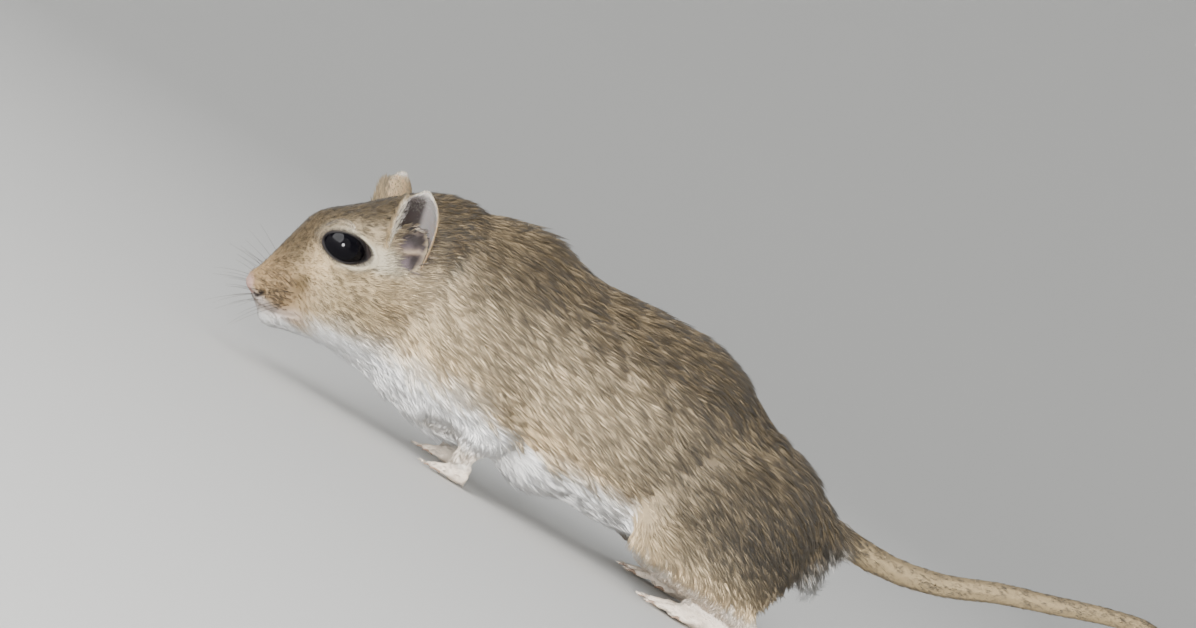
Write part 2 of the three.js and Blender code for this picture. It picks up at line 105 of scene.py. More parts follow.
def ramp(low: float, high: float, value: Array | float) -> Array:
    """A smooth step from 0 at low to 1 at high.

    Args:
        low: Where the step begins.
        high: Where it ends.
        value: The values to map.

    Returns:
        The mapped values, from 0 to 1.
    """
    t = np.clip((np.asarray(value, float) - low) / (high - low), 0.0, 1.0)
    return t * t * (3.0 - 2.0 * t)


def unit(vectors: Array) -> Array:
    """Scales each row to length 1."""
    return vectors / np.maximum(np.linalg.norm(vectors, axis=-1, keepdims=True), 1e-9)


def linear(red: int, green: int, blue: int) -> Array:
    """Turns a colour seen on a screen, 0 to 255, into linear light."""
    share = np.array([red, green, blue]) / 255.0
    return np.where(share <= 0.04045, share / 12.92, ((share + 0.055) / 1.055) ** 2.4)


@dataclass(frozen=True)
class HeadPose:
    """The head's own axes, turned to the left about the neck."""

    pivot: tuple[float, float, float] = (-80.0, 0.0, 26.0)
    yaw_degrees: float = 8.0

    def matrix(self) -> Array:
        """The turn as a 3 by 3 matrix for rows of points."""
        c = math.cos(math.radians(self.yaw_degrees))
        s = math.sin(math.radians(self.yaw_degrees))
        return np.array([[c, s, 0.0], [-s, c, 0.0], [0.0, 0.0, 1.0]])

    def turned(self, points: Array) -> Array:
        """Takes points of the head's own axes to the animal's."""
        return (np.asarray(points, float) - self.pivot) @ self.matrix() + self.pivot

    def unturned(self, points: Array) -> Array:
        """Takes points of the animal's axes to the head's own."""
        return (np.asarray(points, float) - self.pivot) @ self.matrix().T + self.pivot

    def turned_directions(self, vectors: Array) -> Array:
        """Takes directions of the head's own axes to the animal's."""
        return np.asarray(vectors, float) @ self.matrix()


HEAD = HeadPose()


@dataclass(frozen=True)
class EyeSizes:
    """Sizes of the eye and its opening, in the head's own axes."""

    centre: tuple[float, float, float] = (-98.2, 5.9, 25.2)
    radius: float = 4.0
    opening_centre: tuple[float, float] = (-98.35, 25.3)
    opening_length: float = 7.4
    opening_height: float = 4.8
    corner_reach: float = 0.8
    corner_drop: float = 0.6
    least_height: float = 1.4
    tilt_degrees: float = 8.0

    def outline(self, steps: int, swell: float = 0.0) -> Array:
        """The almond outline of the opening in the head's side view.

        Args:
            steps: How many points it has.
            swell: How far it is moved out.

        Returns:
            Rows of x and z.
        """
        angle = np.linspace(0.0, 2.0 * math.pi, steps, endpoint=False)
        corner = np.maximum(np.cos(angle), 0.0) ** 8
        along = (self.opening_length / 2 + swell) * np.cos(angle) + self.corner_reach * corner
        across = (self.opening_height / 2 + swell) * np.sin(angle) - self.corner_drop * corner
        tilt = math.radians(self.tilt_degrees)
        x = self.opening_centre[0] + along * math.cos(tilt) - across * math.sin(tilt)
        z = self.opening_centre[1] + along * math.sin(tilt) + across * math.cos(tilt)
        return np.stack([x, z], axis=-1)

    def spread(self, x: Array, z: Array) -> Array:
        """How far out a point of the side view lies, as a share of the opening's half size."""
        tilt = math.radians(self.tilt_degrees)
        dx = x - self.opening_centre[0]
        dz = z - self.opening_centre[1]
        along = (dx * math.cos(tilt) + dz * math.sin(tilt)) / (self.opening_length / 2)
        across = (dz * math.cos(tilt) - dx * math.sin(tilt)) / (self.opening_height / 2)
        along = along / np.where(along > 0.0, 1.0 + 2 * self.corner_reach / self.opening_length, 1.0)
        return np.hypot(along, across)

    def ball_height(self, x: Array, z: Array) -> Array:
        """How far out from the midline the eyeball's surface lies."""
        r2 = (x - self.centre[0]) ** 2 + (z - self.centre[2]) ** 2
        return self.centre[1] + np.sqrt(np.maximum(self.radius**2 - r2, self.least_height**2))


EYE = EyeSizes()


@dataclass(frozen=True)
class EarSizes:
    """Sizes and place of the ear and of the hollow at its root, in the head's own axes."""

    base: tuple[float, float, float] = (-88.3, 8.8, 29.4)
    lean: tuple[float, float, float] = (-0.3, 0.3, 0.9)
    facing: tuple[float, float, float] = (-0.35, 0.94, 0.0)
    height: float = 13.2
    width: float = 7.3
    thickness: float = 0.45
    hollow_centre: tuple[float, float, float] = (-89.3, 10.8, 31.6)
    hollow_radii: tuple[float, float, float] = (2.6, 2.6, 4.6)
    hollow_tilt_degrees: float = 20.0

    def hollow_spread(self, points: Array) -> Array:
        """How far out of the hollow a point lies, as a share of the hollow's radii.

        Args:
            points: Places in the head's own axes.

        Returns:
            A share for each place, 1 on the hollow's edge.
        """
        tilt = math.radians(self.hollow_tilt_degrees)
        x = points[:, 0] - self.hollow_centre[0]
        y = np.abs(points[:, 1]) - self.hollow_centre[1]
        z = points[:, 2] - self.hollow_centre[2]
        across = (x * math.cos(tilt) + z * math.sin(tilt)) / self.hollow_radii[0]
        along = (z * math.cos(tilt) - x * math.sin(tilt)) / self.hollow_radii[2]
        return np.sqrt(across**2 + (y / self.hollow_radii[1]) ** 2 + along**2)


EAR = EarSizes()


@dataclass(frozen=True)
class Placement:
    """Where the animal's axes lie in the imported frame."""

    shift: tuple[float, float, float]

    @classmethod
    def from_frame(cls) -> "Placement":
        """Finds the shift from the eyes, which stand at known places in the animal's axes."""
        middles = []
        for side in Side:
            low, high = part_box(f"eye_{side.label}")
            middles.append((np.array(low) + np.array(high)) / 2 / METRES_PER_MM)
        seen = (middles[0] + middles[1]) / 2
        own = HEAD.turned(np.array([[EYE.centre[0], 0.0, EYE.centre[2]]]))[0]
        shift = seen - own
        log.info("the frame's origin lies %s mm from the animal's", np.round(-shift, 2))
        return cls(tuple(shift))

    def to_frame(self, points: Array) -> Array:
        """Takes points from the animal's millimetres to the frame's metres."""
        return (points + np.array(self.shift)) * METRES_PER_MM

    def from_metres(self, points: Array) -> Array:
        """Takes points from the frame's metres to the animal's millimetres."""
        return points / METRES_PER_MM - np.array(self.shift)


PLACE = Placement.from_frame()


# Meshes as arrays


@dataclass
class Surface:
    """A mesh held as arrays, in the animal's millimetres."""

    points: Array
    faces: Array

    @classmethod
    def read(cls, mesh: bpy.types.Mesh) -> "Surface":
        """Reads a stored mesh, with each face cut into triangles."""
        mesh.calc_loop_triangles()
        points = np.empty(len(mesh.vertices) * 3)
        mesh.vertices.foreach_get("co", points)
        triangles = np.empty(len(mesh.loop_triangles) * 3, dtype=np.int64)
        mesh.loop_triangles.foreach_get("vertices", triangles)
        return cls(PLACE.from_metres(points.reshape(-1, 3)), triangles.reshape(-1, 3))

    def normals(self) -> Array:
        """The normal at each point, from the faces round it weighted by area."""
        corners = self.points[self.faces]
        face_normals = np.cross(corners[:, 1] - corners[:, 0], corners[:, 2] - corners[:, 0])
        summed = np.zeros_like(self.points)
        for corner in range(3):
            for axis in range(3):
                summed[:, axis] += np.bincount(
                    self.faces[:, corner], face_normals[:, axis], minlength=len(self.points)
                )
        return unit(summed)

    def edges(self) -> Array:
        """Each pair of joined points, once."""
        pairs = np.concatenate([self.faces[:, [0, 1]], self.faces[:, [1, 2]], self.faces[:, [2, 0]]])
        return np.unique(np.sort(pairs, axis=1), axis=0)

    def areas(self) -> Array:
        """The area of each face, in square millimetres."""
        corners = self.points[self.faces]
        one_edge = corners[:, 1] - corners[:, 0]
        other_edge = corners[:, 2] - corners[:, 0]
        return np.linalg.norm(np.cross(one_edge, other_edge), axis=1) / 2


def relaxed(values: Array, edges: Array, rounds: int, strength: Array | float = 0.5) -> Array:
    """Draws each point's value towards the mean of its neighbours'.

    Args:
        values: One row for each point.
        edges: Pairs of joined points.
        rounds: How many times it is done.
        strength: How far a value moves each time, one for all or one for each point.

    Returns:
        The smoothed values.
    """
    count = len(values)
    degree = np.bincount(edges.ravel(), minlength=count).astype(float)
    share = np.broadcast_to(np.asarray(strength, float), (count,))[:, None]
    result = values.astype(float).reshape(count, -1)
    for _ in range(rounds):
        mean = np.empty_like(result)
        for axis in range(result.shape[1]):
            total = np.bincount(edges[:, 0], result[edges[:, 1], axis], minlength=count)
            total += np.bincount(edges[:, 1], result[edges[:, 0], axis], minlength=count)
            mean[:, axis] = total / np.maximum(degree, 1.0)
        result += (mean - result) * share
    return result.reshape(values.shape)


def store_mesh(name: str, points: Array, faces: Array, smooth: bool = True) -> bpy.types.Object:
    """Makes an object from arrays of points and triangles.

    Args:
        name: The object's name.
        points: Rows of x, y and z in the animal's millimetres.
        faces: Rows of three point numbers.
        smooth: Whether it is shaded smooth.

    Returns:
        The new object, at the origin of the frame.
    """
    mesh = bpy.data.meshes.new(name)
    mesh.vertices.add(len(points))
    mesh.vertices.foreach_set("co", PLACE.to_frame(points).astype(np.float32).ravel())
    mesh.loops.add(faces.size)
    mesh.loops.foreach_set("vertex_index", faces.astype(np.int32).ravel())
    mesh.polygons.add(len(faces))
    mesh.polygons.foreach_set("loop_start", np.arange(0, faces.size, 3, dtype=np.int32))
    mesh.polygons.foreach_set("use_smooth", np.full(len(faces), smooth))
    mesh.update(calc_edges=True)
    mesh.validate()
    obj = bpy.data.objects.new(name, mesh)
    bpy.context.scene.collection.objects.link(obj)
    return obj


def paint_points(obj: bpy.types.Object, colours: Array) -> None:
    """Stores one colour for each point, in the attribute that the coat's materials read."""
    layer = obj.data.color_attributes.new(COAT_ATTRIBUTE, "FLOAT_COLOR", "POINT")
    rgba = np.ones((len(colours), 4), dtype=np.float32)
    rgba[:, :3] = colours
    layer.data.foreach_set("color", rgba.ravel())


def dressed(obj: bpy.types.Object, material: bpy.types.Material) -> bpy.types.Object:
    """Gives an object its material and its body."""
    obj.data.materials.clear()
    obj.data.materials.append(material)
    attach(obj, "root")
    return obj


COAT_ATTRIBUTE = "coat_colour"


# Finishes


def value_variation_group() -> bpy.types.NodeTree:
    """Builds the group that lightens and darkens a colour in small patches.

    Returns:
        The node group, with a colour and a value as its outputs.
    """
    name = "coat_variation"
    if name in bpy.data.node_groups:
        return bpy.data.node_groups[name]
    group = bpy.data.node_groups.new(name, "ShaderNodeTree")
    colour_in = group.interface.new_socket("Colour", in_out="INPUT", socket_type="NodeSocketColor")
    colour_in.default_value = (0.5, 0.5, 0.5, 1.0)
    scale_in = group.interface.new_socket("Patch Scale", in_out="INPUT", socket_type="NodeSocketFloat")
    scale_in.default_value = 600.0
    amount_in = group.interface.new_socket("Amount", in_out="INPUT", socket_type="NodeSocketFloat")
    amount_in.default_value = 0.3
    group.interface.new_socket("Colour", in_out="OUTPUT", socket_type="NodeSocketColor")
    group.interface.new_socket("Height", in_out="OUTPUT", socket_type="NodeSocketFloat")
    nodes = group.nodes
    links = group.links
    inputs = nodes.new("NodeGroupInput")
    outputs = nodes.new("NodeGroupOutput")
    place = nodes.new("ShaderNodeTexCoord")
    noise = nodes.new("ShaderNodeTexNoise")
    noise.inputs["Detail"].default_value = 3.0
    links.new(place.outputs["Object"], noise.inputs["Vector"])
    links.new(inputs.outputs["Patch Scale"], noise.inputs["Scale"])
    centred = nodes.new("ShaderNodeMath")
    centred.operation = "SUBTRACT"
    centred.inputs[1].default_value = 0.5
    links.new(noise.outputs["Fac"], centred.inputs[0])
    scaled = nodes.new("ShaderNodeMath")
    scaled.operation = "MULTIPLY_ADD"
    scaled.inputs[2].default_value = 1.0
    links.new(centred.outputs[0], scaled.inputs[0])
    links.new(inputs.outputs["Amount"], scaled.inputs[1])
    tint = nodes.new("ShaderNodeVectorMath")
    tint.operation = "SCALE"
    links.new(inputs.outputs["Colour"], tint.inputs[0])
    links.new(scaled.outputs[0], tint.inputs["Scale"])
    links.new(tint.outputs[0], outputs.inputs["Colour"])
    links.new(noise.outputs["Fac"], outputs.inputs["Height"])
    return group


@dataclass(frozen=True)
class Finish:
    """A material whose colour comes from the points or from one plain value.

    Attributes:
        name: The material's name.
        colour: Linear colour, or None where the points carry it.
        roughness: From 0, mirror smooth, to 1.
        specular: Strength of the plain reflection, 0.5 for most things.
        patch_scale: How fine the lightening and darkening is, in patches to a metre.
        patch_amount: How strong it is.
        bump: Height of the surface's grain in metres.
        coat: Weight of a clear wet layer.
        sheen: Weight of the soft light of fine fibres.
        scatter: Weight of the light that passes under the surface.
    """

    name: str
    colour: tuple[float, float, float] | None = None
    roughness: float = 0.7
    specular: float = 0.3
    patch_scale: float = 600.0
    patch_amount: float = 0.3
    bump: float = 0.0
    coat: float = 0.0
    sheen: float = 0.0
    scatter: float = 0.0

    def material(self) -> bpy.types.Material:
        """Builds the material, or gives the one already built."""
        if self.name in bpy.data.materials:
            return bpy.data.materials[self.name]
        made = bpy.data.materials.new(self.name)
        made.use_nodes = True
        nodes = made.node_tree.nodes
        links = made.node_tree.links
        shader = nodes["Principled BSDF"]
        shader.inputs["Roughness"].default_value = self.roughness
        shader.inputs["Specular IOR Level"].default_value = self.specular
        shader.inputs["Coat Weight"].default_value = self.coat
        shader.inputs["Coat Roughness"].default_value = 0.03
        shader.inputs["Sheen Weight"].default_value = self.sheen
        shader.inputs["Subsurface Weight"].default_value = self.scatter
        shader.inputs["Subsurface Scale"].default_value = 0.001
        variation = nodes.new("ShaderNodeGroup")
        variation.node_tree = value_variation_group()
        variation.inputs["Patch Scale"].default_value = self.patch_scale
        variation.inputs["Amount"].default_value = self.patch_amount
        if self.colour is None:
            points = nodes.new("ShaderNodeAttribute")
            points.attribute_name = COAT_ATTRIBUTE
            links.new(points.outputs["Color"], variation.inputs["Colour"])
        else:
            variation.inputs["Colour"].default_value = (*self.colour, 1.0)
        links.new(variation.outputs["Colour"], shader.inputs["Base Color"])
        if self.bump > 0.0:
            grain = nodes.new("ShaderNodeBump")
            grain.inputs["Distance"].default_value = self.bump
            links.new(variation.outputs["Height"], grain.inputs["Height"])
            links.new(grain.outputs["Normal"], shader.inputs["Normal"])
        return made


FUR = Finish("fur", roughness=0.6, specular=0.22, patch_scale=260.0, patch_amount=0.12, sheen=0.1)
SKIN = Finish("skin", roughness=0.7, patch_scale=1800.0, patch_amount=0.35, bump=0.0001)
BARE_EAR = Finish(
    "bare_ear",
    roughness=0.55,
    patch_scale=900.0,
    patch_amount=0.25,
    bump=0.00008,
    scatter=0.25,
)
EYEBALL = Finish("eyeball", tuple(linear(6, 5, 9)), 0.02, 0.15, 300.0, 0.2)
HORN = Finish("horn", tuple(linear(146, 122, 104)), 0.35, 0.5, 1500.0, 0.5)
WHISKER = Finish("whisker", tuple(linear(70, 62, 54)), 0.4, 0.4, 400.0, 0.3)
BACKDROP = Finish("backdrop", tuple(linear(196, 195, 192)), 0.9, 0.2, 3.0, 0.02)


# Markings


NOSE_TIP = np.array([-107.3, 0.5, 10.9])
NOSE_PAD = np.array([1.6, 2.0, 1.9])


NOSTRIL = [(-106.5, 9.9), (-105.9, 10.2), (-105.5, 11.0)]
MOUTH = [(-105.9, 9.4), (-104.4, 9.1), (-102.4, 9.0), (-100.2, 9.6), (-98.6, 10.4)]
CREASES = (
    [(-54.0, 40.0), (-48.0, 35.7), (-45.0, 32.0)],
    [(-48.0, 40.5), (-40.5, 38.2), (-33.5, 37.0)],
    [(-39.0, 34.0), (-35.0, 30.0), (-33.0, 26.0)],
)
VENT = [(-1.0, 8.0), (3.5, 13.5), (8.5, 22.0)]
TRAGUS = [(-91.8, 29.0), (-89.6, 29.6), (-87.2, 31.2)]


def closeness(points: Array, path: Sequence[tuple[float, ...]], reach: float) -> Array:
    """How close each point lies to a bent line, 1 on it and 0 well beyond the reach.

    Args:
        points: Places to test.
        path: The line's corners.
        reach: Distance at which it has fallen to about a third.

    Returns:
        A share for each point.
    """
    best = np.full(len(points), 1e9)
    for start, end in zip(path[:-1], path[1:]):
        first = np.array(start)
        along = np.array(end) - first
        t = np.clip((points - first) @ along / (along @ along), 0.0, 1.0)
        best = np.minimum(best, np.linalg.norm(points - first - t[:, None] * along, axis=1))
    return np.exp(-((best / reach) ** 2))


@dataclass(frozen=True)
class Markings:
    """The golden agouti colours, as linear light, by place on the animal, with painted shade in creases and
    hollows and towards the rump.
    """

    back: tuple[float, float, float] = tuple(linear(92, 78, 56))
    flank: tuple[float, float, float] = tuple(linear(202, 181, 146))
    ochre: tuple[float, float, float] = tuple(linear(236, 207, 160))
    white: tuple[float, float, float] = tuple(linear(252, 250, 247))
    cheek: tuple[float, float, float] = tuple(linear(186, 162, 120))
    eye_ring: tuple[float, float, float] = tuple(linear(200, 190, 166))
    muzzle: tuple[float, float, float] = tuple(linear(160, 132, 94))
    shade: tuple[float, float, float] = tuple(linear(112, 92, 62))
    nose: tuple[float, float, float] = tuple(linear(192, 158, 146))
    lip: tuple[float, float, float] = tuple(linear(232, 212, 202))
    # dark serves as painted shade in the nostrils, inside the ear hollows and inside the front of each ear,
    # and colours the skin inside the eye's opening.
    dark: tuple[float, float, float] = tuple(linear(46, 38, 36))
    rim: tuple[float, float, float] = tuple(linear(22, 18, 18))
    concha: tuple[float, float, float] = tuple(linear(128, 114, 118))
    foot: tuple[float, float, float] = tuple(linear(233, 218, 200))
    tail: tuple[float, float, float] = tuple(linear(166, 146, 110))
    brush: tuple[float, float, float] = tuple(linear(66, 54, 42))

    def belly_line(self, x: Array) -> Array:
        """Height of the upper edge of the white underside along the body."""
        stations = [-104.0, -98.0, -92.0, -80.0, -62.0, -55.0, -40.0, -30.0, -20.0, -5.0, 6.0]
        heights = [7.5, 8.5, 10.5, 12.0, 13.0, 12.5, 10.5, 8.6, 6.4, 6.6, 9.0]
        return np.interp(x, stations, heights)

    def paint(self, points: Array, normals: Array, weights: Array) -> Array:
        """Works out the coat's colour.

        Args:
            points: Places on the skin.
            normals: The skin's normals there.
            weights: Share of each region at each place.

        Returns:
            One linear colour for each place.
        """
        x, y, z = points.T
        wander = 1.2 * np.sin(x * 0.9 + 1.7 * np.sin(z * 0.7)) + 0.8 * np.sin(x * 2.3 + y)
        head = weights[:, Region.HEAD.value]
        # Darker over the back and towards the rump: partly the coat's own darker colour, partly painted
        # shade where the light falls off.
        darker = ramp(24.0, 41.0, z + 5.0 * normals[:, 2] + wander) * 0.9
        rear_coat_and_shade = ramp(-46.0, -14.0, x + 0.3 * (z - 20.0)) * ramp(9.0, 19.0, z + 0.5 * wander)
        darker = np.maximum(darker, 0.8 * rear_coat_and_shade)
        # Painted shade in the creases of loose skin over the back.
        crease = np.max([closeness(points[:, [0, 2]], path, 1.1) for path in CREASES], axis=0)
        darker = np.maximum(darker, crease * (1.0 - 0.4 * np.abs(normals[:, 2])))
        colour = self.blend(np.broadcast_to(self.flank, points.shape), self.back, darker)
        above = z + 0.5 * wander - self.belly_line(x)
        tinged = 0.8 * (1.0 - 0.6 * head) * (1.0 - 0.7 * weights[:, Region.THIGH.value])
        colour = self.blend(colour, self.ochre, (1.0 - ramp(1.0, 8.5, above)) * tinged)
        facing_down = ramp(0.45, 0.75, -normals[:, 2]) * ramp(-100, -92, x)
        under = np.maximum(1.0 - ramp(-1.4, 1.8, above), facing_down)
        colour = self.blend(colour, self.white, under)
        throat = ramp(-97.0, -90.0, x) * (1.0 - ramp(-70.0, -60.0, x)) * (1.0 - ramp(0.5, 6.0, above))
        colour = self.blend(colour, self.white, throat * 0.6)
        colour = self.paint_head(colour, points, head)
        # Painted shade: darker towards the rump, except low down, where the light falls off.
        colour = colour * (1.0 - 0.38 * ramp(-50.0, -8.0, x) * ramp(9.0, 18.0, z))[:, None]
        fringe = closeness(points[:, [0, 2]], VENT, 2.8) * (np.abs(y) < 11.0) * ramp(-3.0, 1.0, x)
        colour = self.blend(colour, self.white, fringe * (1.0 - weights[:, Region.TAIL.value]) * 1.2)
        inner = ramp(0.0, 0.5, -normals[:, 1] * np.sign(y)) * weights[:, Region.LIMB.value]
        colour = self.blend(colour, self.white, np.maximum(inner, 0.0))
        low_limb = weights[:, Region.LIMB.value] * (1.0 - ramp(5.5, 8.5, z))
        colour = self.blend(colour, self.foot, low_limb)
        colour = self.blend(colour, self.foot, weights[:, Region.FOOT.value])
        tail = weights[:, Region.TAIL.value] * ramp(4.0, 9.0, x)
        colour = self.blend(colour, self.tail, tail)
        colour = self.blend(colour, self.back, tail * ramp(0.2, 0.9, normals[:, 2]) * 0.5)
        return self.blend(colour, self.brush, tail * ramp(84.0, 92.0, x + 2.0 * normals[:, 2]))

    def paint_head(self, colour: Array, points: Array, head: Array) -> Array:
        """Lays the face's markings, with painted shade in the nostrils, the creases and inside the ear
        hollows, over the body's colours.

        Args:
            colour: The colours so far.
            points: Places on the skin.
            head: Share of the head's region at each place.

        Returns:
            The colours with the face's markings.
        """
        x, y, z = HEAD.unturned(points).T
        side = np.abs(y)

        def near(cx: float, cz: float, rx: float, rz: float, inner: float = 0.35) -> Array:
            """How near each place on the side of the head is to an oval's centre, from 0 to 1."""
            spread = np.hypot((x - cx) / rx, (z - cz) / rz)
            return (1.0 - ramp(inner, 1.0, spread)) * head * ramp(1.0, 3.0, side)

        colour = self.blend(colour, self.cheek, near(-91.5, 20.0, 10.5, 9.0) * 0.7)
        muzzle = (1.0 - ramp(-103.0, -97.0, x + 0.35 * (z - 18.0))) * head
        colour = self.blend(colour, self.muzzle, muzzle * ramp(7.5, 10.5, z) * 0.9)
        colour = self.blend(colour, self.ochre, near(-101.5, 20.0, 4.5, 5.0) * 0.5)
        bridge = head * (1.0 - ramp(3.5, 8.0, side)) * ramp(14.0, 21.0, z)
        colour = self.blend(colour, self.back, bridge * 0.9)
        colour = self.blend(colour, self.eye_ring, near(-97.8, 25.3, 5.7, 4.0, 0.6) * 0.9)
        colour = self.blend(colour, self.eye_ring, near(-92.0, 26.4, 5.0, 3.2) * 0.8)
        colour = self.blend(colour, self.shade, near(-101.0, 15.5, 1.7, 3.4) * 0.7)
        colour = self.blend(colour, self.shade, near(-87.0, 19.5, 2.2, 2.4) * 0.5)
        colour = self.blend(colour, self.shade, near(-83.0, 33.5, 2.6, 4.4) * 0.7)
        colour = self.blend(colour, self.eye_ring, near(-81.2, 31.5, 1.8, 4.6) * 0.8)
        chin = head * (1.0 - ramp(8.8, 10.8, z + 0.2 * (x + 104.0)))
        colour = self.blend(colour, self.white, chin * 0.9)
        colour = self.blend(colour, self.lip, closeness(np.stack([x, z], -1), MOUTH, 1.0) * head * 0.6)
        own = np.stack([x, y, z], -1)
        snout = np.linalg.norm((np.abs(own * [0, 1, 0]) + own * [1, 0, 1] - NOSE_TIP) / NOSE_PAD, axis=1)
        colour = self.blend(colour, self.nose, (1.0 - ramp(0.75, 1.15, snout)) * head)
        beside = head * (side > 0.7)
        # Painted shade in the nostrils.
        colour = self.blend(colour, self.dark, closeness(own[:, [0, 2]], NOSTRIL, 0.5) * beside * 1.3)
        colour = self.blend(colour, self.shade, closeness(own[:, [0, 2]], MOUTH, 0.3) * beside * 0.5)
        opening = EYE.spread(x, z)
        colour = self.blend(colour, self.dark, (1.0 - ramp(1.08, 1.2, opening)) * head * (side > 3.0))
        inside = (1.0 - ramp(0.95, 1.15, EAR.hollow_spread(own))) * head
        colour = self.blend(colour, self.concha, inside)
        ridge = closeness(own[:, [0, 2]], TRAGUS, 0.55) * inside
        colour = self.blend(colour, self.cheek, ridge * 0.55)
        # Painted shade inside the hollow, towards its top and its back.
        hollow_shade = (inside - ridge) * np.maximum(ramp(29.5, 32.5, z), ramp(-88.6, -87.2, x + 0.3 * (z - 29.0)))
        return self.blend(colour, self.dark, hollow_shade)

    @staticmethod
    def blend(under: Array, over: Sequence[float] | Array, share: Array) -> Array:
        """Lays one colour over others by a share for each place."""
        amount = np.clip(share, 0.0, 1.0)[:, None]
        return under * (1.0 - amount) + np.asarray(over) * amount


MARKINGS = Markings()


# Skin


@dataclass(frozen=True)
class RegionCoat:
    """What the coat of one region is like.

    Attributes:
        inset: How deep the skin lies under the tips, in mm.
        length: Length of a tuft, in mm.
        width: Width of a tuft, in mm.
        lift: Angle between tuft and skin, in degrees.
        cover: How many tufts lie over one place.
        smoothing: How strongly the skin is relaxed.
    """

    inset: float
    length: float
    width: float
    lift: float
    cover: float
    smoothing: float


COATS: dict[Region, RegionCoat] = {
    Region.HEAD: RegionCoat(0.35, 1.6, 0.15, 17.0, 7.0, 0.4),
    Region.NECK: RegionCoat(1.0, 4.0, 0.27, 13.0, 9.0, 0.8),
    Region.TRUNK: RegionCoat(1.1, 5.2, 0.3, 12.0, 9.0, 0.9),
    Region.THIGH: RegionCoat(1.0, 4.6, 0.28, 12.0, 9.0, 0.8),
    Region.LIMB: RegionCoat(0.5, 2.0, 0.2, 14.0, 9.0, 0.35),
    Region.FOOT: RegionCoat(0.1, 1.0, 0.12, 12.0, 6.0, 0.12),
    Region.TAIL: RegionCoat(0.4, 1.8, 0.15, 11.0, 7.0, 0.3),
}


def by_region(weights: Array, name: str) -> Array:
    """Mixes one of the coat's values over the regions.

    Args:
        weights: Share of each region at each place.
        name: The value's name in RegionCoat.

    Returns:
        The mixed value at each place.
    """
    values = np.array([getattr(COATS[region], name) for region in Region])
    return weights @ values


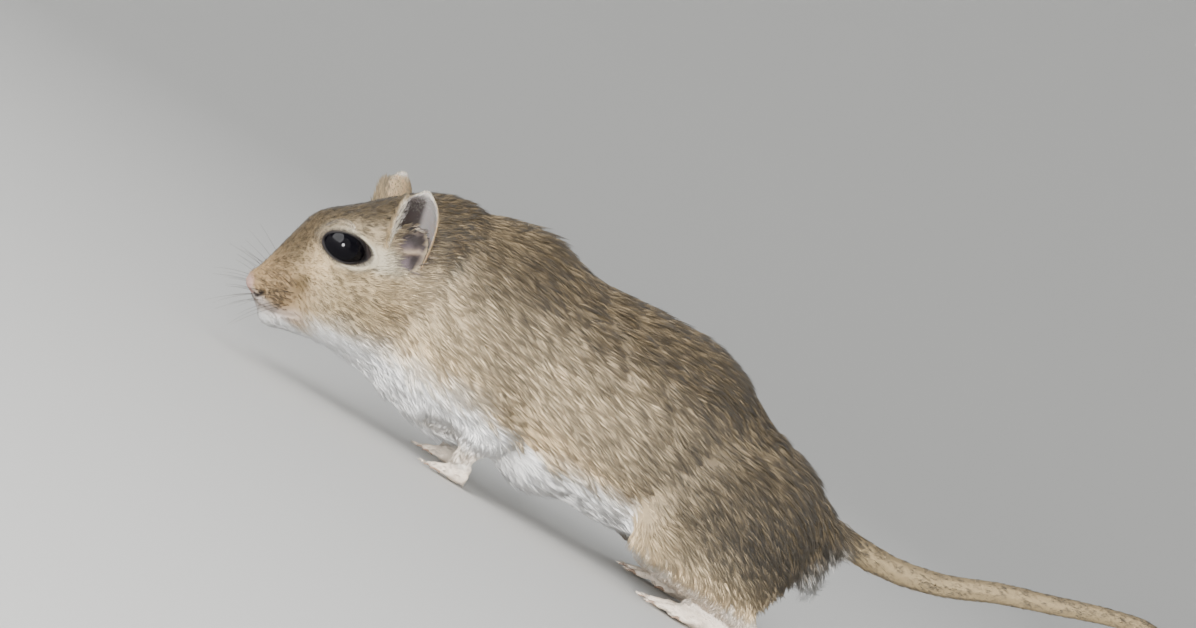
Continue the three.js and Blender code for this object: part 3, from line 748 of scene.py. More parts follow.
@dataclass
class Skin:
    """The one skin over all the flesh, sculpted round the eyes, nose and mouth.

    Attributes:
        voxel: Size of the grid on which the parts are made one, in mm.
        swell: How far the parts are grown first, so that their gaps close.
        rounds: How many times the surface is relaxed and swollen again.
        fine_reach: How far back from the nose the face gets a finer mesh, in mm.
    """

    voxel: float = 0.62
    swell: float = 0.22
    rounds: int = 24
    fine_reach: float = 18.0
    surface: Surface = field(init=False)
    before_sockets: Surface = field(init=False)
    weights: Array = field(init=False)

    def build(self) -> bpy.types.Object:
        """Builds the skin from copies of the flesh nodes.

        Returns:
            The skin's object, painted and dressed.
        """
        mesh = self.joined()
        surface = Surface.read(mesh)
        weights = self.region_weights(surface.points)
        edges = surface.edges()
        weights = relaxed(weights, edges, 8)
        strength = 0.6 * by_region(weights, "smoothing")
        for _ in range(self.rounds):
            surface.points = relaxed(surface.points, edges, 1, strength)
            surface.points = relaxed(surface.points, edges, 1, -0.97 * strength)
        inset = by_region(weights, "inset") + self.swell
        depth = relaxed(inset, edges, 6)
        surface.points = surface.points - surface.normals() * depth[:, None]
        self.surface = surface
        self.weights = weights
        self.refine_face()
        self.before_sockets = Surface(self.surface.points.copy(), self.surface.faces)
        self.press_creases()
        self.sculpt_eyes()
        self.sculpt_ear_hollows()
        self.sculpt_nose_and_mouth()
        self.surface.points[:, 2] = np.maximum(self.surface.points[:, 2], 0.0)
        obj = store_mesh("skin", self.surface.points, self.surface.faces)
        normals = self.surface.normals()
        colours = MARKINGS.paint(self.surface.points, normals, self.weights)
        # Painted shade under the coat: the skin is painted 30% darker wherever it is furred.
        furred = 1.0 - self.weights[:, [Region.FOOT.value]]
        paint_points(obj, colours * (1.0 - 0.3 * furred))
        dressed(obj, SKIN.material())
        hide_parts(*FLESH_NODES)
        log.info("skin: %d triangles", len(self.surface.faces))
        return obj

    def joined(self) -> bpy.types.Mesh:
        """Makes the flesh nodes one closed mesh on a grid.

        Returns:
            The new mesh, in metres.
        """
        parts = bmesh.new()
        for name in FLESH_NODES:
            parts.from_mesh(bpy.data.objects[name].data)
        bmesh.ops.remove_doubles(parts, verts=parts.verts, dist=0.00001)
        parts.normal_update()
        for vert in parts.verts:
            vert.co += vert.normal * self.swell * METRES_PER_MM
        mesh = bpy.data.meshes.new("flesh")
        parts.to_mesh(mesh)
        parts.free()
        holder = bpy.data.objects.new("flesh", mesh)
        bpy.context.scene.collection.objects.link(holder)
        grid = holder.modifiers.new("grid", "REMESH")
        grid.mode = "VOXEL"
        grid.voxel_size = self.voxel * METRES_PER_MM
        solid = bpy.data.meshes.new_from_object(holder.evaluated_get(bpy.context.evaluated_depsgraph_get()))
        bpy.data.objects.remove(holder)
        return solid

    def region_weights(self, points: Array) -> Array:
        """Finds the region of each point from the nearest flesh node.

        Args:
            points: Places on the skin.

        Returns:
            A row of shares for each point, one for each region.
        """
        places = []
        labels = []
        for name, region in FLESH_NODES.items():
            node = Surface.read(bpy.data.objects[name].data)
            middles = node.points[node.faces].mean(axis=1)
            places.append(middles)
            labels.append(np.full(len(middles), region.value))
        stacked = np.concatenate(places)
        label = np.concatenate(labels)
        tree = kdtree.KDTree(len(stacked))
        for index, place in enumerate(stacked):
            tree.insert(place, index)
        tree.balance()
        nearest = np.array([tree.find(point)[1] for point in points])
        weights = np.zeros((len(points), len(Region)))
        weights[np.arange(len(points)), label[nearest]] = 1.0
        return weights

    def refine_face(self) -> None:
        """Cuts the face's triangles finer, so that lids, nostrils and lips can be shaped."""
        shaped = bmesh.new()
        verts = [shaped.verts.new(point) for point in self.surface.points]
        shaped.verts.ensure_lookup_table()
        for face in self.surface.faces:
            shaped.faces.new([verts[index] for index in face])
        layers = [shaped.verts.layers.float.new(region.name) for region in Region]
        for vert, row in zip(shaped.verts, self.weights):
            for layer, value in zip(layers, row):
                vert[layer] = value
        head_points = HEAD.unturned(self.surface.points)
        nose_x = head_points[:, 0].min()
        ahead = head_points[:, 0] < nose_x + self.fine_reach
        shaped.verts.index_update()
        chosen = [edge for edge in shaped.edges if all(ahead[vert.index] for vert in edge.verts)]
        bmesh.ops.subdivide_edges(shaped, edges=chosen, cuts=1, smooth=0.3)
        bmesh.ops.triangulate(shaped, faces=shaped.faces)
        shaped.verts.index_update()
        points = np.array([vert.co[:] for vert in shaped.verts])
        faces = np.array([[vert.index for vert in face.verts] for face in shaped.faces])
        self.weights = np.array([[vert[layer] for layer in layers] for vert in shaped.verts])
        self.surface = Surface(points, faces)
        shaped.free()

    def press_creases(self) -> None:
        """Presses the folds of loose skin into the back."""
        points = self.surface.points
        crease = np.max([closeness(points[:, [0, 2]], path, 1.3) for path in CREASES], axis=0)
        self.surface.points = points - self.surface.normals() * (0.8 * crease)[:, None]

    def sculpt_eyes(self) -> None:
        """Sinks the skin under each eyeball's opening, and keeps it over the ball round it."""
        own = HEAD.unturned(self.surface.points)
        for side in Side:
            centre = np.array(EYE.centre) * [1.0, side.value, 1.0]
            out = own[:, 1] * side.value
            inside = (EYE.spread(own[:, 0], own[:, 2]) < 1.12) & (out > 1.5)
            offset = own - centre
            apart = np.linalg.norm(offset, axis=1)
            covering = ~inside & (apart < EYE.radius + 0.2) & (out > EYE.centre[1] - 1.0)
            own[covering] = centre + offset[covering] / apart[covering, None] * (EYE.radius + 0.2)
            sunk = np.minimum(out, EYE.ball_height(own[:, 0], own[:, 2]) - 1.0)
            own[inside, 1] = side.value * sunk[inside]
        self.surface.points = HEAD.turned(own)

    def sculpt_ear_hollows(self) -> None:
        """Deepens the hollow at the root of each ear."""
        own = HEAD.unturned(self.surface.points)
        inside = 1.0 - ramp(0.6, 1.1, EAR.hollow_spread(own))
        ridge = closeness(own[:, [0, 2]], TRAGUS, 0.6)
        own[:, 1] -= np.sign(own[:, 1]) * inside * (1.5 - 1.3 * ridge)
        self.surface.points = HEAD.turned(own)

    def sculpt_nose_and_mouth(self) -> None:
        """Presses in the nostrils, the cleft of the lip and the line of the mouth."""
        own = HEAD.unturned(self.surface.points)
        normals = HEAD.unturned(self.surface.normals() + np.array(HEAD.pivot)) - np.array(HEAD.pivot)
        beside = np.abs(own[:, 1]) > 0.7
        press = 0.9 * closeness(own[:, [0, 2]], NOSTRIL, 0.45) * beside
        press = np.maximum(press, 0.15 * closeness(own[:, [0, 2]], MOUTH, 0.5) * beside)
        cleft = [(-107.6, 0.0, 10.6), (-107.0, 0.0, 9.6), (-106.0, 0.0, 8.8)]
        press = np.maximum(press, 0.4 * closeness(own, cleft, 0.35))
        own -= normals * press[:, None]
        self.surface.points = HEAD.turned(own)


# Coat


@dataclass
class CoatMap:
    """The coat's lie, length and colour at each point of a surface."""

    surface: Surface
    normals: Array
    colours: Array
    flow: Array
    length: Array
    width: Array
    lift: Array
    cover: Array
    uv: Array

    def sampled(self, faces: Array, shares: Array) -> dict[str, Array]:
        """Mixes each value at places inside faces.

        Args:
            faces: The number of the face of each place.
            shares: The share of each corner at each place.

        Returns:
            Each value by its name, one row for each place.
        """
        corners = self.surface.faces[faces]
        result = {"root": np.einsum("nk,nkd->nd", shares, self.surface.points[corners])}
        for name in ("normals", "colours", "flow"):
            result[name] = np.einsum("nk,nkd->nd", shares, getattr(self, name)[corners])
        for name in ("length", "width", "lift"):
            result[name] = np.einsum("nk,nk->n", shares, getattr(self, name)[corners])
        result["uv"] = np.einsum("nk,nkd->nd", shares, self.uv[faces])
        return result


def lie_of_coat(points: Array, normals: Array, weights: Array) -> Array:
    """Works out which way the coat lies.

    Args:
        points: Places on the skin.
        normals: The skin's normals there.
        weights: Share of each region at each place.

    Returns:
        A unit direction along the skin at each place.
    """
    x, y, z = points.T
    side = np.sign(y)
    down = 0.27 + 0.4 * ramp(-38.0, -6.0, x) * ramp(44.0, 34.0, z)
    body = np.stack([np.ones_like(x), 0.06 * side, -down], axis=-1)
    own = HEAD.unturned(points)
    from_nose = own - np.array([-110.0, 0.0, 9.0])
    head = unit(from_nose) + np.array([0.35, 0.0, 0.0])
    sinking = -0.5 * (1 - ramp(14.0, 24.0, z))
    head = head + np.stack([np.zeros_like(x), 0.25 * np.sign(own[:, 1]), sinking], -1)
    head = HEAD.turned_directions(head)
    limb = np.stack([np.full_like(x, -0.1), np.zeros_like(x), np.full_like(x, -1.0)], axis=-1)
    foot = np.stack([np.full_like(x, -1.0), np.zeros_like(x), np.full_like(x, -0.15)], axis=-1)
    tail = Tail.direction_at(points)
    fields = {
        Region.HEAD: head,
        Region.NECK: body,
        Region.TRUNK: body,
        Region.THIGH: body,
        Region.LIMB: limb,
        Region.FOOT: foot,
        Region.TAIL: tail,
    }
    mixed = sum(weights[:, [region.value]] * unit(vectors) for region, vectors in fields.items())
    along = mixed - normals * np.sum(mixed * normals, axis=1, keepdims=True)
    return unit(along)


@dataclass(frozen=True)
class Tail:
    """The tail's centre line."""

    path: tuple[tuple[float, float, float], ...] = (
        (5.0, 0.0, 26.0),
        (12.0, 0.0, 26.0),
        (18.0, 0.0, 26.2),
        (27.0, -0.3, 28.3),
        (36.7, -0.7, 32.4),
        (46.6, -1.0, 35.8),
        (56.0, -1.0, 39.0),
        (64.0, -0.7, 40.8),
        (72.0, 0.0, 38.8),
        (79.0, 1.2, 32.2),
        (84.0, 2.4, 23.0),
        (88.0, 3.6, 13.5),
        (93.0, 4.6, 6.4),
        (101.0, 5.0, 3.0),
    )

    @staticmethod
    def direction_at(points: Array) -> Array:
        """The tail's direction beside each point, towards its tip."""
        path = np.array(Tail().path)
        steps = unit(np.diff(path, axis=0))
        middles = (path[1:] + path[:-1]) / 2
        apart = np.linalg.norm(points[:, None, :] - middles[None], axis=2)
        pull = np.exp(-((apart / 6.0) ** 2)) + 1e-12
        return unit(pull @ steps)


class TuftForm(Enum):
    """How a tuft is built: bent in the middle, or one straight spike."""

    BENT = (
        (0, 2, 1),
        (0, 1, 4),
        (0, 4, 3),
        (1, 2, 5),
        (1, 5, 4),
        (2, 0, 3),
        (2, 3, 5),
        (3, 4, 6),
        (4, 5, 6),
        (5, 3, 6),
    )
    STRAIGHT = ((0, 2, 1), (0, 1, 3), (1, 2, 3), (2, 0, 3))


@dataclass
class Tufts:
    """Solid tufts set over a surface, drawn together into locks.

    Attributes:
        form: How each tuft is built.
        seed: Start of the random draw.
        patch: Size of a tuft's patch in its UV map.
        locks: How many locks the tufts are drawn together into.
        lock_seed: Start of the locks' own draw, the same for layers that share their locks.
        clumping: How far a tuft bends to its lock's tip.
        stretch: How much longer than wide a lock's field is along the body.
        variety: How much the tufts differ in brightness.
        most_faces: How many triangles one object holds.
    """

    form: TuftForm = TuftForm.BENT
    seed: int = 7
    patch: float = 0.003
    locks: int = 1500
    lock_seed: int = 3
    clumping: float = 0.35
    stretch: float = 2.2
    variety: float = 1.0
    most_faces: int = 198000

    def grow(self, name: str, coat: CoatMap, count: int) -> list[bpy.types.Object]:
        """Grows tufts over a surface.

        Args:
            name: Start of the pieces' names.
            coat: The coat's values over the surface.
            count: How many tufts there are.

        Returns:
            The pieces of coat.
        """
        draw = np.random.default_rng(self.seed)
        values = self.scattered(coat, count, draw)
        lock_draw = np.random.default_rng(self.lock_seed)
        guides = self.scattered(coat, self.locks, lock_draw)
        guide_lean = lock_draw.normal(0.0, 0.13, self.locks)
        guide_lift = lock_draw.uniform(0.6, 1.4, self.locks)
        guide_shade = lock_draw.uniform(0.5, 1.2, self.locks)
        lock = self.nearest_lock(guides["root"], values["root"])
        lean = guide_lean[lock] + draw.normal(0.0, 0.07, count)
        lift = np.radians(values["lift"]) * guide_lift[lock] * draw.uniform(0.8, 1.2, count)
        length = values["length"] * draw.uniform(0.72, 1.12, count)
        path = self.paths(values, lean, lift, length)
        guide_rise = np.radians(guides["lift"]) * guide_lift
        guide_path = self.paths(guides, guide_lean, guide_rise, guides["length"] * 1.05)
        pull = guide_path[2][lock] - path[2]
        reach = np.linalg.norm(pull, axis=1, keepdims=True)
        pull = pull * np.minimum(1.0, 0.4 * length[:, None] / np.maximum(reach, 1e-6))
        path[2] = path[2] + self.clumping * pull
        path[1] = path[1] + 0.4 * self.clumping * pull
        brightness = values["colours"].mean(axis=1)
        contrast = np.clip(1.3 - 1.3 * brightness, 0.22, 1.0)
        shade = 1.0 + (guide_shade[lock] * draw.uniform(0.72, 1.25, count) - 1.0) * contrast * self.variety
        dark_tip = (draw.random(count) < 0.2) * draw.uniform(0.3, 0.7, count) * contrast * self.variety
        return self.stored(name, values, path, shade, dark_tip, contrast)

    def nearest_lock(self, guides: Array, roots: Array) -> Array:
        """Finds the lock of each tuft, in fields drawn out along the body.

        Args:
            guides: Roots of the locks.
            roots: Roots of the tufts.

        Returns:
            For each tuft, the number of its lock.
        """
        along = unit(np.array([0.93, 0.0, -0.37]))
        squeeze = np.eye(3) - (1.0 - 1.0 / self.stretch) * np.outer(along, along)
        tree = kdtree.KDTree(len(guides))
        for index, place in enumerate(guides @ squeeze):
            tree.insert(place, index)
        tree.balance()
        return np.array([tree.find(place)[1] for place in roots @ squeeze])

    def scattered(self, coat: CoatMap, count: int, draw: np.random.Generator) -> dict[str, Array]:
        """Scatters places over the surface, closer where tufts are small.

        Args:
            coat: The coat's values over the surface.
            count: How many places there are.
            draw: The random draw.

        Returns:
            The coat's values at the places.
        """
        corners = coat.surface.faces
        length = coat.length[corners].mean(axis=1)
        width = coat.width[corners].mean(axis=1)
        cover = coat.cover[corners].mean(axis=1)
        chance = coat.surface.areas() * cover / np.maximum(length * width, 1e-6)
        total = np.cumsum(chance)
        marks = (np.arange(count) + draw.random(count)) / count * total[-1]
        faces = np.minimum(np.searchsorted(total, marks), len(total) - 1)
        u = np.sqrt(draw.random(count))
        v = draw.random(count)
        shares = np.stack([1.0 - u, u * (1.0 - v), u * v], axis=-1)
        return coat.sampled(faces, shares)

    @staticmethod
    def paths(values: dict[str, Array], lean: Array, lift: Array, length: Array) -> list[Array]:
        """Bends each tuft from its root to its tip.

        Args:
            values: The coat's values at the roots.
            lean: Turn of each tuft on the skin, in radians.
            lift: Angle of each tuft from the skin, in radians.
            length: Length of each tuft.

        Returns:
            Roots, middles and tips.
        """
        normal = unit(values["normals"])
        flow = unit(values["flow"] - normal * np.sum(values["flow"] * normal, axis=1, keepdims=True))
        across = np.cross(normal, flow)
        flow = flow * np.cos(lean)[:, None] + across * np.sin(lean)[:, None]
        root = values["root"] - normal * 0.15 * np.minimum(length, 2.0)[:, None]
        steep = (1.5 * lift)[:, None]
        flat = (0.45 * lift)[:, None]
        reach = length[:, None]
        middle = root + 0.45 * reach * (flow * np.cos(steep) + normal * np.sin(steep))
        tip = middle + 0.55 * reach * (flow * np.cos(flat) + normal * np.sin(flat))
        return [root, middle, tip]

    def stored(
        self,
        name: str,
        values: dict[str, Array],
        path: list[Array],
        shade: Array,
        dark_tip: Array,
        contrast: Array,
    ) -> list[bpy.types.Object]:
        """Turns the paths into solid tapered tufts and stores them.

        Args:
            name: Start of the pieces' names.
            values: The coat's values at the roots.
            path: Roots, middles and tips.
            shade: Brightness of each tuft.
            dark_tip: How much darker its tip is.
            contrast: How strongly its root is darkened.

        Returns:
            The pieces of coat.
        """
        root, middle, tip = path
        normal = unit(values["normals"])
        across = unit(np.cross(normal, unit(tip - root)))
        half = 0.5 * values["width"][:, None]
        bent = self.form is TuftForm.BENT
        base = values["colours"] * shade[:, None]
        # Darker root: partly the hair's own slate base, partly painted shade low in the coat.
        rows = [(root, 0.6, base * (1.0 - 0.5 * contrast)[:, None]), (middle, 1.0, base)] if bent else []
        rows = rows or [(root, 1.0, base * (1.0 - 0.4 * contrast)[:, None])]
        rings = []
        shades = []
        for centre, scale, colour in rows:
            rings.append(centre - across * half * scale)
            rings.append(centre + across * half * scale)
            rings.append(centre + normal * half * scale * 0.9)
            shades += [colour] * 3
        points = np.stack([*rings, tip], axis=1)
        tip_colour = np.clip(base * 1.1, 0.0, 0.92) * (1.0 - dark_tip)[:, None]
        points[..., 2] = np.maximum(points[..., 2], 0.0)
        colours = np.stack([*shades, tip_colour], axis=1)
        faces = np.array(self.form.value)
        pieces = []
        order = np.argsort(root[:, 0], kind="stable")
        in_piece = self.most_faces // len(faces)
        for number, start in enumerate(range(0, len(root), in_piece)):
            chosen = order[start : start + in_piece]
            piece_faces = faces[None] + points.shape[1] * np.arange(len(chosen))[:, None, None]
            corners = points[chosen].reshape(-1, 3)
            obj = store_mesh(f"{name}_{number + 1}", corners, piece_faces.reshape(-1, 3))
            paint_points(obj, colours[chosen].reshape(-1, 3))
            self.mapped(obj, values["uv"][chosen], len(faces))
            pieces.append(dressed(obj, FUR.material()))
        log.info("%s: %d tufts in %d pieces", name, len(root), len(pieces))
        return pieces

    def mapped(self, obj: bpy.types.Object, roots: Array, faces_each: int) -> None:
        """Lays each tuft's faces in one small patch at its root's place.

        Args:
            obj: The piece of coat.
            roots: The roots' places on the unwrapped skin.
            faces_each: How many faces a tuft has.
        """
        corners = np.array([[0.0, 0.0], [1.0, 0.0], [0.0, 1.0]]) * self.patch
        laid = roots[:, None, None, :] + corners[None, None]
        laid = np.broadcast_to(laid, (len(roots), faces_each, 3, 2))
        layer = obj.data.uv_layers.new(name="OFBake")
        layer.data.foreach_set("uv", np.ascontiguousarray(laid, dtype=np.float32).ravel())


def unwrapped(obj: bpy.types.Object) -> Array:
    """Unwraps an object and gives the UV of each corner of each triangle.

    Args:
        obj: A mesh of triangles.

    Returns:
        For each face, three rows of u and v.
    """
    bpy.ops.object.select_all(action="DESELECT")
    obj.select_set(True)
    bpy.context.view_layer.objects.active = obj
    obj.data.uv_layers.new(name="OFBake")
    bpy.ops.object.mode_set(mode="EDIT")
    bpy.ops.mesh.select_all(action="SELECT")
    bpy.ops.uv.smart_project(angle_limit=math.radians(66.0), island_margin=0.002)
    bpy.ops.object.mode_set(mode="OBJECT")
    uv = np.empty(len(obj.data.loops) * 2)
    obj.data.uv_layers["OFBake"].data.foreach_get("uv", uv)
    return uv.reshape(-1, 3, 2)


@dataclass
class Coat:
    """The coat over the skin.

    Attributes:
        under_tufts: How many bent tufts make the body's locks.
        guard_tufts: How many fine straight hairs lie over them.
        short_tufts: How many spikes cover the face, the feet and the tail.
    """

    under_tufts: int = 42000
    guard_tufts: int = 150000
    short_tufts: int = 90000

    def build(self, skin: Skin, obj: bpy.types.Object) -> list[bpy.types.Object]:
        """Grows the coat over the skin.

        Args:
            skin: The skin's arrays.
            obj: The skin's object.

        Returns:
            The pieces of coat.
        """
        surface = skin.surface
        points = surface.points
        normals = surface.normals()
        weights = skin.weights
        values = {name: by_region(weights, name) for name in ("length", "width", "lift", "cover")}
        self.shape_head(values, points, normals, weights[:, Region.HEAD.value])
        throat = ramp(0.2, 0.8, -normals[:, 2]) * ramp(-98.0, -90.0, points[:, 0])
        throat = throat * (1.0 - ramp(-66.0, -58.0, points[:, 0]))
        values["length"] += 0.6 * throat
        values["lift"] += 8.0 * throat
        tail = weights[:, Region.TAIL.value]
        values["length"] += 2.8 * tail * ramp(80.0, 90.0, points[:, 0])
        values["lift"] += 6.0 * tail * ramp(80.0, 90.0, points[:, 0])
        sole = weights[:, Region.FOOT.value] * ramp(0.3, 0.7, -normals[:, 2])
        values["cover"] *= 1.0 - sole
        coat = CoatMap(
            surface=surface,
            normals=normals,
            colours=MARKINGS.paint(points, normals, weights),
            flow=lie_of_coat(points, normals, weights),
            length=np.maximum(values["length"], 0.45),
            width=np.maximum(values["width"], 0.09),
            lift=values["lift"],
            cover=values["cover"],
            uv=unwrapped(obj),
        )
        own = HEAD.unturned(points)
        from_face = own[:, 0] + 0.3 * (own[:, 2] - 20.0)
        face = weights[:, Region.HEAD.value] * (1.0 - ramp(-92.0, -84.0, from_face))
        behind_root = tail * ramp(8.0, 16.0, points[:, 0])
        short = np.maximum(np.maximum(face, weights[:, Region.FOOT.value]), behind_root)
        pieces = []
        share = 1
        body = replace(coat, cover=coat.cover * (1.0 - short))
        guard = replace(body, width=0.5 * body.width, length=0.9 * body.length, lift=1.25 * body.lift)
        spikes = replace(coat, cover=coat.cover * short)
        under = Tufts(seed=7, locks=9000, stretch=3.6, variety=0.95)
        pieces += under.grow("undercoat", body, self.under_tufts // share)
        over = Tufts(form=TuftForm.STRAIGHT, seed=8, locks=9000, stretch=3.6, clumping=0.35)
        pieces += over.grow("guard_hair", guard, self.guard_tufts // share)
        fine = Tufts(form=TuftForm.STRAIGHT, seed=9, locks=6000, clumping=0.2, stretch=2.0, variety=1.4)
        pieces += fine.grow("short_coat", spikes, self.short_tufts // share)
        return pieces

    @staticmethod
    def shape_head(values: dict[str, Array], points: Array, normals: Array, head: Array) -> None:
        """Fits the coat's values to the face: longer behind, bare at nose, eyes and ear hollows.

        Args:
            values: The coat's values, which are changed.
            points: Places on the skin.
            normals: The skin's normals there.
            head: Share of the head's region at each place.
        """
        own = HEAD.unturned(points)
        side = np.abs(own[:, 1])
        behind = head * ramp(-100.0, -82.0, own[:, 0])
        values["length"] += 1.9 * behind
        values["width"] += 0.09 * behind
        muzzle = head * (1.0 - ramp(-104.0, -96.0, own[:, 0]))
        values["length"] -= 0.45 * muzzle
        values["width"] -= 0.03 * muzzle
        values["cover"] *= 1.0 - ramp(0.2, 0.5, closeness(own[:, [0, 2]], NOSTRIL, 0.5)) * head
        pad = np.linalg.norm((np.stack([own[:, 0], side, own[:, 2]], -1) - NOSE_TIP) / NOSE_PAD, axis=1)
        values["cover"] *= ramp(0.72, 1.05, pad)
        opening = EYE.spread(own[:, 0], own[:, 2])
        by_eye = (side > 2.0) & (own[:, 0] < -90.0)
        values["cover"] = np.where((opening < 1.3) & by_eye, 0.0, values["cover"])
        values["length"] -= 0.5 * (1.0 - ramp(1.3, 2.0, opening)) * head * by_eye
        values["cover"] *= 1.0 - head * (1.0 - ramp(0.95, 1.15, EAR.hollow_spread(own)))


# Head details


@dataclass
class Eye:
    """One eyeball with its lids: a soft skirt of skin with a dark edge round the opening.

    Attributes:
        side: The eye's side.
        around: Points round the opening.
        swells: How far out from the opening each ring of the lids lies, in mm.
        rises: How high over the ball each of the inner rings lies, in mm.
        tufts: How many tufts of fur the lids carry.
    """

    side: Side
    around: int = 72
    swells: tuple[float, ...] = (-0.3, -0.12, 0.05, 0.28, 0.5, 0.8, 1.2, 1.7)
    rises: tuple[float, ...] = (-0.35, 0.06, 0.3, 0.4, 0.38)
    tufts: int = 3500

    def build(self, skin: Skin) -> list[bpy.types.Object]:
        """Builds the eyeball and its lids.

        Args:
            skin: The skin that the lids run out into.

        Returns:
            The eyeball and the lids.
        """
        lids = self.lids(skin)
        return [self.ball(), lids, *self.down(lids)]

    def ball(self) -> bpy.types.Object:
        """Builds the glossy eyeball."""
        shape = bmesh.new()
        bmesh.ops.create_uvsphere(shape, u_segments=48, v_segments=32, radius=EYE.radius)
        centre = HEAD.turned(np.array([[EYE.centre[0], self.side.value * EYE.centre[1], EYE.centre[2]]]))[0]
        bmesh.ops.translate(shape, verts=shape.verts, vec=Vector(centre))
        obj = from_bmesh(f"eyeball_{self.side.label}", shape)
        dressed(obj, EYEBALL.material())
        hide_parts(f"eye_{self.side.label}")
        return obj

    def lids(self, skin: Skin) -> bpy.types.Object:
        """Builds the lids from rings that run from under the edge out to the skin."""
        outer = self.skin_height(skin, *EYE.outline(self.around, self.swells[-1]).T)
        centre = np.array(EYE.centre) * [1.0, self.side.value, 1.0]
        rings = []
        edges = []
        for number, swell in enumerate(self.swells):
            x, z = EYE.outline(self.around, swell).T
            ball = EYE.ball_height(x, z)
            rim = ball + self.rises[min(number, len(self.rises) - 1)]
            share = ramp(0.3, self.swells[-1], swell)
            ring = np.stack([x, self.side.value * (rim * (1.0 - share) + outer * share), z], axis=-1)
            offset = ring + unit(centre - ring) * 0.3 * share - centre
            apart = np.linalg.norm(offset, axis=1, keepdims=True)
            least = EYE.radius + min(self.rises[min(number, len(self.rises) - 1)], 0.18)
            rings.append(centre + offset * np.maximum(1.0, least / apart))
            edges.append(np.full(self.around, 1.0 - ramp(0.1, 0.45, swell)))
        faces = []
        for row in range(len(rings) - 1):
            for step in range(self.around):
                beside = (step + 1) % self.around
                a = row * self.around + step
                b = row * self.around + beside
                corners = [(a, b, b + self.around), (a, b + self.around, a + self.around)]
                faces += corners if self.side is Side.LEFT else [corner[::-1] for corner in corners]
        points = HEAD.turned(np.concatenate(rings))
        surface = Surface(points, np.array(faces))
        obj = store_mesh(f"lids_{self.side.label}", surface.points, surface.faces)
        fur = self.painted(surface)
        paint_points(obj, Markings.blend(fur, MARKINGS.rim, np.concatenate(edges)))
        return dressed(obj, SKIN.material())

    @staticmethod
    def painted(surface: Surface) -> Array:
        """The face's markings on the lids."""
        weights = np.zeros((len(surface.points), len(Region)))
        weights[:, Region.HEAD.value] = 1.0
        return MARKINGS.paint(surface.points, surface.normals(), weights)

    def down(self, lids: bpy.types.Object) -> list[bpy.types.Object]:
        """Grows short fur over the lids, away from the opening.

        Args:
            lids: The lids' object.

        Returns:
            The pieces of fur.
        """
        surface = Surface.read(lids.data)
        own = HEAD.unturned(surface.points)
        normals = surface.normals()
        away = np.stack([own[:, 0] - EYE.centre[0], np.zeros(len(own)), own[:, 2] - EYE.centre[2]], axis=-1)
        away = HEAD.turned_directions(unit(away) + np.array([0.5, 0.0, 0.0]))
        spread = EYE.spread(own[:, 0], own[:, 2])
        count = len(own)
        coat = CoatMap(
            surface=surface,
            normals=normals,
            colours=self.painted(surface),
            flow=unit(away - normals * np.sum(away * normals, axis=1, keepdims=True)),
            length=0.6 + 0.5 * ramp(1.1, 1.6, spread),
            width=np.full(count, 0.11),
            lift=np.full(count, 17.0),
            cover=ramp(1.08, 1.16, spread) + 0.001,
            uv=unwrapped(lids),
        )
        total = self.tufts
        tufts = Tufts(form=TuftForm.STRAIGHT, seed=31 + self.side.value, clumping=0.1)
        return tufts.grow(f"lid_fur_{self.side.label}", coat, total)

    def skin_height(self, skin: Skin, x: Array, z: Array) -> Array:
        """How far out the skin lies at points of the side view, evened along the ring.

        Args:
            skin: The skin.
            x: Places along the head.
            z: Heights.

        Returns:
            Distances from the midline.
        """
        surface = skin.before_sockets
        tree = bvhtree.BVHTree.FromPolygons(HEAD.unturned(surface.points).tolist(), surface.faces.tolist())
        out = EYE.ball_height(x, z)
        for index in range(len(x)):
            start = Vector((x[index], self.side.value * 20.0, z[index]))
            hit = tree.ray_cast(start, Vector((0.0, -self.side.value, 0.0)))[0]
            if hit is not None:
                out[index] = abs(hit.y)
        for _ in range(3):
            out = (np.roll(out, 1) + 2.0 * out + np.roll(out, -1)) / 4.0
        return out


def from_bmesh(name: str, shape: bmesh.types.BMesh) -> bpy.types.Object:
    """Stores a shape made in the animal's millimetres as a smooth object.

    Args:
        name: The object's name.
        shape: The shape, which is freed.

    Returns:
        The new object, at the frame's origin.
    """
    bmesh.ops.scale(shape, vec=(METRES_PER_MM,) * 3, verts=shape.verts)
    bmesh.ops.translate(shape, vec=Vector(PLACE.shift) * METRES_PER_MM, verts=shape.verts)
    bmesh.ops.recalc_face_normals(shape, faces=shape.faces)
    for face in shape.faces:
        face.smooth = True
    mesh = bpy.data.meshes.new(name)
    shape.to_mesh(mesh)
    shape.free()
    obj = bpy.data.objects.new(name, mesh)
    bpy.context.scene.collection.objects.link(obj)
    return obj


